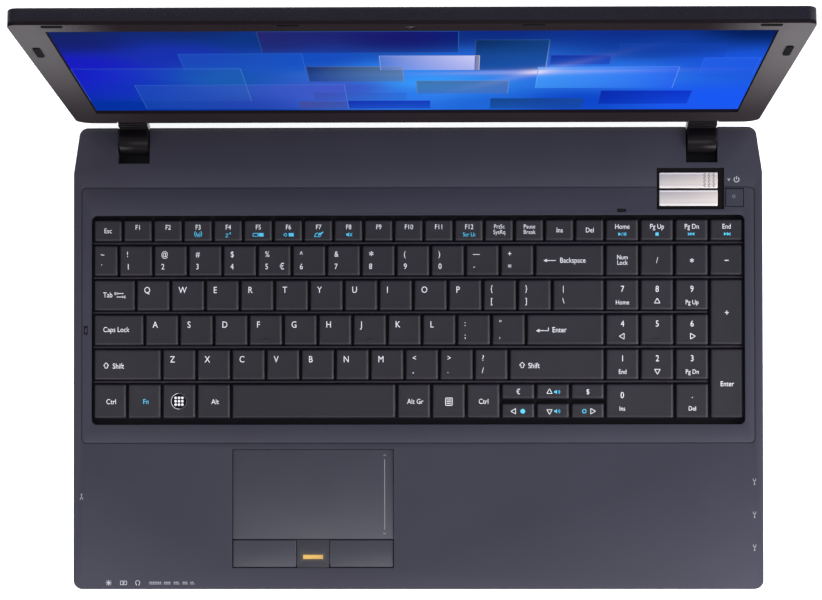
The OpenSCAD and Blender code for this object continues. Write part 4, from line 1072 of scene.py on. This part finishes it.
def wide_legend(left, name):
    """Words and arrows of a wide key, from the middle of its left side."""
    if name in ("ShiftL", "ShiftR"):
        left.moved(6.7, -0.2).outline(0.32, (0, 1.7), (1.5, 0), (0.7, 0), (0.7, -1.3), (-0.7, -1.3),
                                      (-0.7, 0), (-1.5, 0))
        left.text("Shift", 10.2 if name == "ShiftL" else 9.9, -1.8, 4.2, "LEFT")
    elif name == "Caps":
        left.text("Caps Lock", 5.0, -0.7, WORD, "LEFT")
    elif name == "Tab":
        left.text("Tab", 5.0, -0.7, WORD, "LEFT")
        for y, side in ((1.4, -1), (-0.5, 1)):
            tip = left.moved(14.3 + 2.5 * side, y)
            tip.line(-4.4 * side, 0, 0, 0, 0.36)
            tip.area((0, 0), (-1.2 * side, 0.7), (-1.2 * side, -0.7))
            tip.bar(0.2 * side - 0.18, -0.8, 0.2 * side + 0.18, 0.8)
    elif name == "Enter":
        long_arrow(left.moved(6.0, -0.3))
        left.line(11.6, -0.45, 11.6, 1.4, 0.38)
        left.text("Enter", 13.6, -1.2, 4.2, "LEFT")
    elif name == "Backspace":
        long_arrow(left.moved(5.4, 0.1))
        left.text("Backspace", 13.1, -1.1, 4.0, "LEFT")


def arrow_legend(middle, name):
    if name not in ARROWS:
        middle.text(CENTRED[name], 0, -1.2, WORD)
        return
    x, towards = ARROWS[name]
    middle.triangle(x, 0, 1.7, towards)
    cyan = middle.moved(colour=CYAN)
    if name in ("Up", "Down"):
        sound_waves(cyan.moved(1.9, 0))
    elif name == "Left":
        cyan.disc(2.4, 0, 1.3)
    else:
        cyan.arc(-2.0, 0, 1.0, 0.4, steps=16)


def centred_legend(middle, name, shift):
    parts = CENTRED[name].split("\n")
    if len(parts) == 2:
        for k, part in enumerate(parts):
            middle.text(part, 0, 0.7 - 3.0 * k, SMALL)
    elif name == "N*":
        middle.star(0, 0, 1.15)
    elif name in ("N+", "N-"):
        middle.bar(-1.1, -0.22, 1.1, 0.22)
        if name == "N+":
            middle.bar(-0.22, -1.1, 0.22, 1.1)
    else:
        size = 4.6 if name == "N/" else WORD
        middle.text(parts[0], shift, -0.3 * size, size)


def menu_sign(middle):
    middle.outline(0.4, (-1.8, -2), (1.8, -2), (1.8, 2), (-1.8, 2))
    for y in (-0.95, 0, 0.95):
        middle.bar(-1.2, y - 0.2, 1.2, y + 0.2)


print("wide keys:", WIDE_KEYS)

# %% [markdown]
# Now every key gets its legend, one sheet of ink for each body. The height under the ink is the cap's own:
# flat in the dish, rising towards the rim.

# %% Legends of all keys
def legend(sheet, key):
    name, body = key["name"], key["body"]
    x0, y1 = key["x"] + SIDE_GAP / 2 + 0.3 * MM, key["y"] - LINE_GAP / 2 - 0.4 * MM
    cx = x0 + (key["w"] - SIDE_GAP) / 2 - 0.1 * MM
    cy = y1 - (key["d"] - LINE_GAP) / 2
    corner, left, middle = Pen(sheet, x0, y1), Pen(sheet, x0, cy), Pen(sheet, cx, cy)
    if body == "function_row":
        function_legend(middle, name)
    elif name in TWO_LINE:
        two_line_legend(corner, name)
    elif len(name) == 1:
        corner.text(name, 3.7, -7.1, LETTER, "LEFT")
    elif name in NUMPAD:
        number_legend(left.moved(8.7) if name == "N0" else middle, name)
    elif name in WIDE_KEYS:
        wide_legend(left, name)
    elif name == "Fn":
        middle.moved(0.6, -1.1, CYAN).text("Fn", 0, 0, WORD)
    elif name == "Menu":
        menu_sign(middle)
    elif body == "arrow_row":
        arrow_legend(middle, name)
    elif name in CENTRED:
        centred_legend(middle, name, 0.6 if body == "modifier_row" and key["x"] < 0 else 0)


def cap_height(key):
    """Height of the dished top of a key at a point."""
    rim, right_rim = 1.7 * MM, 1.9 * MM
    x0, x1 = key["x"] + SIDE_GAP / 2 + rim, key["x"] + key["w"] - SIDE_GAP / 2 - right_rim
    y0, y1 = key["y"] - key["d"] + LINE_GAP / 2 + rim, key["y"] - LINE_GAP / 2 - rim

    def height(x, y):
        inside = min(x - x0, x1 - x, y - y0, y1 - y) / rim
        return KEY_TOP - RIM_DROP - DISH * max(0.0, min(1.0, inside))
    return height


for body in KEY_BODIES:
    sheet, heights = Printing(), []
    for key in (key for key in GRID if key["body"] == body):
        before = len(sheet.points)
        legend(sheet, key)
        above = cap_height(key)
        heights += [above(x, y) for x, y in sheet.points[before:]]
    if sheet.points:
        supply = iter(heights)
        report(sheet.piece("legends_" + body, body, "key_plastic", [WHITE_INK, CYAN_INK],
                           lambda x, y: next(supply)))

# %% [markdown]
# The deck still lacks its small things: the round badge key, fine lines and marks on the metal bars, the
# power symbol, the scroll line of the touchpad, and the symbols that name the sockets below the edge.
# Printed marks reuse the ink sheets of the legends. Raised marks repeat, so a second Geometry Nodes tree
# sets copies of one small shape on a cloud of points. All symbols are plain and belong to nobody.

# %% Copies on points
def copies_tree():
    tree, identifiers, start = geometry_tree("copies_on_points", {
        "Template": ("Object", None), "Size": ("Float", 1.0), "Finish": ("Material", None)})
    coated_end(tree, start, copies_on_points(tree, start, {"Scale": start["Size"]}))
    return tree, identifiers


COPIES = copies_tree()


def turned(name, section, steps=48):
    """A mesh turned about the Z axis from a list of radius and height in mm, top and bottom closed."""
    bm = bmesh.new()
    turns = [2 * math.pi * k / steps for k in range(steps)]
    loops = [[bm.verts.new((r * MM * math.cos(a), r * MM * math.sin(a), z * MM)) for a in turns]
             for r, z in section]
    close_loops(bm, loops)
    mesh = bpy.data.meshes.new(name)
    bm.to_mesh(mesh)
    bm.free()
    return mesh


def copied(name, template, spots, body, material, size=1.0):
    mesh = grown(point_cloud(name + "_spots", spots), COPIES,
                 {"Template": template, "Size": size, "Finish": material})
    return finished(name, mesh, body, [material])


print("copies tree inputs:", list(COPIES[1]))

# %% [markdown]
# The badge key carries a low round plate of black gloss with a thin rim and nine white dots. The rim is
# printed white on its left half and grey on its right, a painted highlight on one side. The plate is turned
# from a section. Its rim sits in the cap's dish, so it is seen from the side too.

# %% Badge key
badge_x = key_of["Round"]["x"] + key_of["Round"]["w"] / 2
badge_y = key_of["Round"]["y"] - key_of["Round"]["d"] / 2
BADGE = KEY_TOP - 0.1 * MM
DOT_STEP = 1.85
plate_mesh = turned("badge_plate", [(4.5, -0.25), (4.5, 0.02), (4.42, 0.10), (4.2, 0.14), (3.2, 0.16),
                                    (1.6, 0.17)])
plate_mesh.transform(Matrix.Translation((badge_x, badge_y, BADGE)))
badge = finished("badge_plate", plate_mesh, "modifier_row", [GLOSS_BLACK])
badge_ink = Printing()
white = Pen(badge_ink, badge_x, badge_y)
# the rim, printed white on its left half and grey on its right: a painted highlight on one side
white.arc(0, 0, 4.3, 0.22, 95, 275, 30)
white.moved(colour=1).arc(0, 0, 4.3, 0.12, 275, 455, 30)
for col in (-1, 0, 1):
    for line in (-1, 0, 1):
        white.disc(col * DOT_STEP, line * DOT_STEP, 0.72, 16)
badge_print = badge_ink.piece("badge_print", "modifier_row", "key_plastic", [WHITE_INK, GREY_INK],
                              lambda x, y: BADGE + 0.155 * MM)
report(badge, badge_print)

# %% [markdown]
# The two metal bars have a fine line near each long side and a brighter strip along each long edge, which is
# a painted highlight, and the upper one has three columns of raised crescents for the thumb. The crescents
# are one arc shape copied twelve times.

# %% Lines and crescents on the metal bars
bar_pieces = []
for node, body in (("power_button", "power"), ("launch_button", "launch")):
    low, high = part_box(node)
    lines = Printing()
    for y in (low.y + 1.9 * MM, high.y - 1.8 * MM):
        lines.bar(low.x + 0.5 * MM, y - 0.09 * MM, high.x - 0.5 * MM, y + 0.09 * MM)
    # painted highlight: a pale strip along each long edge of the bar
    for y in (low.y + 0.75 * MM, high.y - 0.7 * MM):
        lines.bar(low.x + 0.4 * MM, y - 0.3 * MM, high.x - 0.4 * MM, y + 0.3 * MM, 1)
    bar_pieces.append(lines.piece("lines_" + node, body, slot_of_node[node],
                                  [ink("bar_line", (0.36, 0.32, 0.34)), ink("bar_edge_highlight", (0.56, 0.52, 0.54))],
                                  lambda x, y, top=high.z: top - 0.012 * MM))

CRESCENT_HEIGHT, CRESCENT_SUNK = 0.12 * MM, 0.03 * MM
crescent = Printing()
Pen(crescent, 0, 0).arc(0, 0, 0.68, 0.42, 60, 300, 10)
crescent_mesh = bpy.data.meshes.new("crescent")
crescent_mesh.from_pydata([(x, y, 0) for x, y in crescent.points], [], crescent.faces)
bm = bmesh.new()
bm.from_mesh(crescent_mesh)
bmesh.ops.remove_doubles(bm, verts=bm.verts, dist=1e-6)
raised = bmesh.ops.extrude_face_region(bm, geom=bm.faces[:])
bmesh.ops.translate(bm, verts=[v for v in raised["geom"] if isinstance(v, bmesh.types.BMVert)],
                    vec=(0, 0, CRESCENT_HEIGHT))
bmesh.ops.recalc_face_normals(bm, faces=bm.faces)
bm.to_mesh(crescent_mesh)
bm.free()
crescent_shape = bpy.data.objects.new("crescent_shape", crescent_mesh)
bpy.context.scene.collection.objects.link(crescent_shape)
low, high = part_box("power_button")
spots = [(high.x - (1.9 + 2.5 * col) * MM, low.y + (1.35 + 1.98 * line) * MM, high.z - CRESCENT_SUNK)
         for col in range(3) for line in range(4)]
bar_pieces.append(copied("bar_crescents", crescent_shape, spots, "power",
                         surface("crescent_metal", (0.17, 0.14, 0.15), (0.4, 0.5), 0.3, 0.004, 0.05)))
bpy.data.objects.remove(crescent_shape)
report(*bar_pieces)

# %% [markdown]
# Printed marks of the deck go on one sheet, just above the surface: the power symbol and its light, the
# plug signs beside the sockets, and the row of signs at the front left for the lights and card kinds. Each
# sign is only lines, bars and arcs, as small as on a real deck.

# %% Printed marks of the deck
marks = Printing()
deck_pen = Pen(marks, 0, KY)
faint_pen = Pen(marks, 0, KY, 1)

power_sign = deck_pen.moved(174.9, 34.4)
power_sign.arc(0, 0, 1.35, 0.45, 125, 415, 26)
power_sign.line(0, 0, 0, 1.8, 0.45)
deck_pen.bar(169.9, 34.5, 171.5, 34.9)
deck_pen.bar(170.45, 33.6, 170.95, 34.9)


def plug_sign(pen, up=1):
    """A forked line with a dot: a plain sign for a data socket."""
    pen.line(0, -1.5 * up, 0, 0.4 * up, 0.3)
    pen.arc(0, 1.0 * up, 0.7, 0.3, 190 if up > 0 else -10, 350 if up > 0 else 170, 8)
    pen.disc(0, -1.5 * up, 0.4)
    for side in (-0.7, 0.7):
        pen.line(side, 0.9 * up, side, 1.6 * up, 0.3)


plug_sign(faint_pen.moved(-184.6, -139.3), -1)
for y in (-131, -149, -167):
    plug_sign(faint_pen.moved(184.1, y))

FRONT_SIGNS = -186.3
sun = deck_pen.moved(-169.6, FRONT_SIGNS)
for k in range(8):
    a = math.radians(45 * k)
    sun.line(0.5 * math.cos(a), 0.5 * math.sin(a), 1.7 * math.cos(a), 1.7 * math.sin(a), 0.26)
sun.disc(0, 0, 0.6)
charge = deck_pen.moved(-161.5, FRONT_SIGNS)
for y in (-1.0, 1.0):
    charge.bar(-1.8, y - 0.15, 1.8, y + 0.15)
for x in (-1.8, 1.6):
    charge.bar(x, -1.0, x + 0.3, 1.0)
charge.area((-0.7, -0.1), (0.3, 0.7), (0.5, 0.1), (0.8, 0.1), (-0.4, -0.8), (-0.2, -0.1))
headset = deck_pen.moved(-153.7, FRONT_SIGNS)
headset.arc(0, 0.1, 1.15, 0.3, -60, 240, 18)
for x in (-0.7, 0.7):
    headset.bar(x - 0.3, -1.3, x + 0.3, -0.9)

# words too small to read: an underline and a row of small bars each, from and to in mm
words_pen = faint_pen.moved(0, FRONT_SIGNS)
for x0, x1 in ((-147.4, -140.6), (-139.4, -135.6), (-134.0, -130.6), (-129.2, -126.2), (-124.9, -122.4)):
    words_pen.bar(x0, -0.75, x1, -0.45)
    step = x0 + 0.2
    while step < x1 - 0.4:
        words_pen.bar(step, -0.1, step + 0.55, 0.65)
        step += 0.95
deck_marks = marks.piece("deck_marks", "base", "deck_plastic",
                         [ink("deck_ink", (0.34, 0.34, 0.37)), ink("faint_ink", (0.24, 0.24, 0.27))],
                         lambda x, y: DECK)
report(deck_marks)

# %% [markdown]
# Four more marks lie on other faces: the touchpad's scroll line with its two tips, the dark frame round the
# fingerprint strip, the dark line along the deck's rear edge, and the ring on the small square key.

# %% Marks on the touchpad, the strip, the rear edge and the small key
scroll = Printing()
scroll_pen = Pen(scroll, -18.2 * MM, KY)
scroll_pen.bar(-0.13, -157.2, 0.13, -118.6)
for tip, up in ((-116.2, 1), (-159.6, -1)):
    for side in (-0.75, 0.75):
        scroll_pen.line(side, tip - 0.55 * up, 0, tip, 0.28)
pad_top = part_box("touchpad_plate")[1].z
scroll_marks = scroll.piece("scroll_line", "base", "pad_surface", [ink("scroll_ink", (0.22, 0.22, 0.23))],
                            lambda x, y: pad_top)

low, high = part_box("fingerprint_sensor")
sensor_frame = Printing()
wall = 1.1 * MM
for bar in ((low.x - wall, high.y, high.x + wall, high.y + wall),
            (low.x - wall, low.y - wall, high.x + wall, low.y),
            (low.x - wall, low.y, low.x, high.y), (high.x, low.y, high.x + wall, high.y)):
    sensor_frame.bar(*bar)
finger_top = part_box("fingerprint_bezel")[1].z
sensor_marks = sensor_frame.piece("sensor_frame", "base", "gloss_black",
                                  [ink("frame_ink", (0.016, 0.010, 0.009))], lambda x, y: finger_top)

rear_edge = Printing()
for x0, x1 in ((-183.5, -165.5), (-146.2, 146.2), (165.5, 183.5)):
    rear_edge.bar(x0 * MM, REAR - 1.7 * MM, x1 * MM, REAR - 0.95 * MM)
rear_mark = rear_edge.piece("rear_edge_line", "base", "deck_plastic",
                            [ink("edge_ink", (0.004, 0.004, 0.005))], lambda x, y: DECK)

small = Printing()
Pen(small, 0, KY).arc(173.4, 25.1, 0.75, 0.28, steps=14)
small_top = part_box("small_key")[1].z
small_mark = small.piece("small_key_mark", "small", slot_of_node["small_key"], [GREY_INK],
                         lambda x, y: small_top)
report(scroll_marks, small_mark, sensor_marks, rear_mark)

# %% [markdown]
# Two cuts in the deck get a floor of their own: the microphone's slot has a near-black sheet at the bottom,
# and the mark in the left margin a near-black floor round a raised middle of deck plastic. These black floors
# are painted shade, standing in for the dark inside of deeper cuts. They are thin slabs with round edges,
# kept inside the cuts.

# %% Painted shade at the floors of the microphone slot and the margin mark
# near-black sheets at the floors of the cuts: painted shade of deep cuts
slot_shade_black = surface("mic_cloth", (0.006, 0.006, 0.007), (0.7, 0.9), 0.35, 0.02, 0.2, specular=0.1)
# name, lowest and highest corner in mm from the grid's rear line and the deck, finish, round in mm
for name, low, high, finish, soft in (
        ("mic_cloth", (109.6, 16.8, -0.62), (114.3, 18.5, -0.42), slot_shade_black, 0.05),
        ("margin_inlay", (-183.45, -50.05, -0.42), (-181.35, -45.45, -0.3), slot_shade_black, 0.04),
        ("margin_tongue", (-182.9, -49.0, -0.32), (-181.7, -46.6, -0.05), DECK_PLASTIC, 0.05)):
    corners = [(x * MM, KY + y * MM, DECK + z * MM) for x, y, z in (low, high)]
    report(bars_piece(name, [corners], "base", finish, soft * MM))

# %% [markdown]
# ## The lid
#
# The screen shows a picture of soft blue panes. It is painted on the mesh itself: a grid in the plane of
# the panel carries one colour per point, worked out from a few anchor colours that blend into each other,
# then from a list of panes laid over them. Grid lines run close on both sides of every pane's edge, so the
# edges stay sharp without a fine grid everywhere. A texture would blend as well, but can't be edited here.

# %% Colours of the picture
def linear(code):
    """Linear colour of a six-digit colour code."""
    parts = [int(code[i:i + 2], 16) / 255 for i in (0, 2, 4)]
    return [p / 12.92 if p <= 0.04045 else ((p + 0.055) / 1.055) ** 2.4 for p in parts]


# place across and up the screen, from 0 to 1, and colour
ANCHORS = [(0.02, 0.99, "122458"), (0.03, 0.84, "16206c"), (0.02, 0.60, "1a1ac0"), (0.06, 0.45, "1a18c8"),
           (0.16, 0.70, "1a30b0"), (0.10, 0.32, "0c24b8"), (0.03, 0.05, "0430a0"), (0.20, 0.97, "102a6c"),
           (0.20, 0.40, "1658b0"), (0.20, 0.05, "0438a4"), (0.30, 0.85, "0c3480"), (0.36, 0.66, "164cc0"),
           (0.40, 0.30, "3b50c0"), (0.47, 0.48, "2a86f4"), (0.52, 0.36, "3aa0ff"), (0.52, 0.20, "2b7cf0"),
           (0.60, 0.62, "2566d8"), (0.62, 0.95, "0c2a80"), (0.48, 0.88, "141a68"), (0.80, 0.95, "0e2c88"),
           (0.97, 0.97, "041c54"), (0.85, 0.80, "0e3a9c"), (0.80, 0.45, "2d78f0"), (0.97, 0.60, "1a56e0"),
           (0.95, 0.15, "1a58f4"), (0.74, 0.12, "0c44c8"), (0.60, 0.10, "1e66d8")]
ANCHOR_WIDTH, ANCHOR_SOFT, ANCHOR_FALL = 1.5, 0.006, 1.7
# left, right, bottom, top, colour at the left, colour at the right, strength
PANES = [(0.165, 0.342, 0.508, 0.713, "2060c8", "1c54c8", 0.45),
         (0.000, 0.248, 0.128, 0.540, "1619c8", "2468b4", 0.42),
         (0.080, 0.395, 0.019, 0.338, "2458b8", "5058cc", 0.45),
         (0.286, 0.565, 0.723, 0.957, "2a1f66", "0c1470", 0.75),
         (0.343, 0.484, 0.374, 0.559, "162458", "5c7486", 0.85),
         (0.451, 0.595, 0.514, 0.685, "5a7ed8", "e0dcff", 0.85),
         (0.346, 0.486, 0.128, 0.231, "3a4ca8", "2c66d0", 0.60),
         (0.395, 0.522, 0.021, 0.126, "0818a8", "0a22b4", 0.85),
         (0.320, 0.395, 0.015, 0.116, "4a4a86", "3c4c98", 0.70),
         (0.588, 0.692, 0.510, 0.862, "0a2a54", "124078", 0.80),
         (0.696, 0.783, 0.577, 0.687, "10289a", "1436b0", 0.85),
         (0.680, 0.886, 0.286, 0.548, "4aa4ff", "2a62f0", 0.80),
         (0.502, 0.640, 0.218, 0.383, "3f6c96", "4a6eb0", 0.85),
         (0.614, 0.757, 0.014, 0.153, "123c78", "1a4898", 0.85),
         (0.780, 0.918, 0.076, 0.253, "0618a4", "0a2cc4", 0.85),
         (0.790, 0.943, 0.656, 0.819, "1c48b0", "1540b0", 0.45),
         (0.916, 0.997, 0.456, 0.654, "2a66f0", "2460ec", 0.45)]
# number of a pane in the list above and the colour of its thin bright border
BORDERED = {0: "3f84dc", 2: "58a8e8", 3: "3890c8", 4: "8898a0", 5: "ffffff", 7: "4070e0", 9: "5090c8",
            10: "4a68d0", 11: "98ccff", 12: "88b4d8", 14: "3468d8", 16: "4c84f8", 1: "5f9fe0"}
BORDER_WIDTH, BORDER_HEIGHT = 0.0011, 0.0045
BORDER_SHARE_LEFT, BORDER_SHARE_RIGHT = 0.2, 0.36
GLOW_U, GLOW_V, GLOW_COLOUR = 0.679, 0.487, (1.0, 0.86, 0.95)
# each ray of the glow: its way across and up, its reach and its power
GLOW_RAYS = ((1.0, 0.10, 0.10, 0.35), (0.9, 1.8, 0.09, 0.16), (0.30, 0.30, 0.016, 0.9))
FLATNESS = 0.6


def mixed_colour(first, second, share):
    return [a + (b - a) * share for a, b in zip(first, second)]


def picture_colour(u, v):
    total, colour = 0.0, [0.0, 0.0, 0.0]
    for au, av, code in ANCHORS:
        weight = 1 / (((u - au) * ANCHOR_WIDTH) ** 2 + (v - av) ** 2 + ANCHOR_SOFT) ** ANCHOR_FALL
        total += weight
        colour = [c + weight * k for c, k in zip(colour, linear(code))]
    colour = [c / total for c in colour]
    for u0, u1, v0, v1, first, second, strength in PANES:
        if u0 <= u <= u1 and v0 <= v <= v1:
            tone = mixed_colour(linear(first), linear(second), (u - u0) / (u1 - u0))
            colour = mixed_colour(colour, tone, strength * (0.65 + 0.35 * (v - v0) / (v1 - v0)))
    across, up = u - GLOW_U, (v - GLOW_V) * FLATNESS
    for du, dv, reach, power in GLOW_RAYS:
        length = math.hypot(du, dv * FLATNESS)
        along = abs(across * du + up * dv * FLATNESS) / length
        off = abs(across * dv * FLATNESS - up * du) / length
        glow = power * math.exp(-(along / reach) ** 1.3 - (off / (0.012 + reach * 0.03)) ** 1.5)
        colour = mixed_colour(colour, GLOW_COLOUR, min(glow, 1))
    return colour


print("anchors:", len(ANCHORS), "panes:", len(PANES), "with a border:", len(BORDERED))

# %% [markdown]
# The grid of points follows. It is sixty cells wide and forty high before the edges of the panes are added.

# %% Picture on the screen
GRID_WIDE, GRID_HIGH = 60, 40


def grid_lines(steps, edges, clear):
    """Even lines from 0 to 1, with two more close on both sides of each edge."""
    lines = {round(k / steps, 5) for k in range(steps + 1)}
    for edge in edges:
        if 0 < edge < 1:
            lines = {line for line in lines if abs(line - edge) > clear * 2 or line in (0, 1)}
    for edge in edges:
        lines |= {round(edge - clear, 5), round(edge + clear, 5)}
    return sorted(line for line in lines if 0 <= line <= 1)


PIC_X, PIC_Y0, PIC_Y1 = 172.1 * MM, 40.7 * MM, 234.2 * MM
PIC_Z = PANEL_FRONT + 0.03 * MM


def picture_spot(u, v, lift=0.0):
    return (2 * u - 1) * PIC_X, PIC_Y0 + v * (PIC_Y1 - PIC_Y0), PIC_Z + lift


columns = grid_lines(GRID_WIDE, [e for p in PANES for e in p[:2]], 0.0004)
rows = grid_lines(GRID_HIGH, [e for p in PANES for e in p[2:4]], 0.0008)
points = [picture_spot(u, v) for v in rows for u in columns]
paints = [picture_colour(u, v) for v in rows for u in columns]
wide = len(columns)
faces = [(k, k + 1, k + 1 + wide, k + wide)
         for k in (j * wide + i for j in range(len(rows) - 1) for i in range(wide - 1))]
for index, code in BORDERED.items():
    u0, u1, v0, v1 = PANES[index][:4]
    for a0, a1, b0, b1 in ((u0, u1, v1 - BORDER_HEIGHT, v1), (u1 - BORDER_WIDTH, u1, v0, v1),
                           (u0, u0 + BORDER_WIDTH, v0, v1)):
        faces.append(tuple(range(len(points), len(points) + 4)))
        for u, v in ((a0, b0), (a1, b0), (a1, b1), (a0, b1)):
            share = BORDER_SHARE_RIGHT if u > (u0 + u1) / 2 else BORDER_SHARE_LEFT
            points.append(picture_spot(u, v, 0.02 * MM))
            paints.append(mixed_colour(picture_colour(u, v), linear(code), share))
picture_mesh = bpy.data.meshes.new("screen_picture")
picture_mesh.from_pydata(points, [], faces)
paint = picture_mesh.color_attributes.new("paint", "FLOAT_COLOR", "POINT")
for item, colour in zip(paint.data, paints):
    item.color = (*colour, 1)
picture_mesh.transform(LID)

lit, tree = empty_material("lit_picture")
painted = add(tree, "ShaderNodeAttribute", attribute_name="paint")
glow = add(tree, "ShaderNodeEmission", {"Color": painted.outputs["Color"]})
add(tree, "ShaderNodeOutputMaterial", {"Surface": glow.outputs[0]})
picture = finished("screen_picture", picture_mesh, "lid", [lit])
report(picture)

# %% [markdown]
# Between the picture and the bezel's opening the panel shows a thin dark frame of foil. It is drawn as four
# flat bars with the same printing helper as the legends, laid on the panel's own front face.

# %% Trim round the screen
trim = Printing()
for x0, x1, y0, y1 in ((-172.9, 172.9, 234.25, 234.75), (-172.9, -172.3, 40.2, 234.7),
                       (172.3, 172.9, 40.2, 234.7), (-172.9, 172.9, 40.15, 40.6)):
    trim.bar(x0 * MM, y0 * MM, x1 * MM, y1 * MM)
trim_piece = trim.piece("screen_trim", "lid", slot_of_node["display_panel"],
                        [surface("trim_foil", (0.02, 0.02, 0.022), (0.4, 0.6), 0.3, 0.004, 0.1)],
                        lambda x, y: PANEL_FRONT, LID)
report(trim_piece)
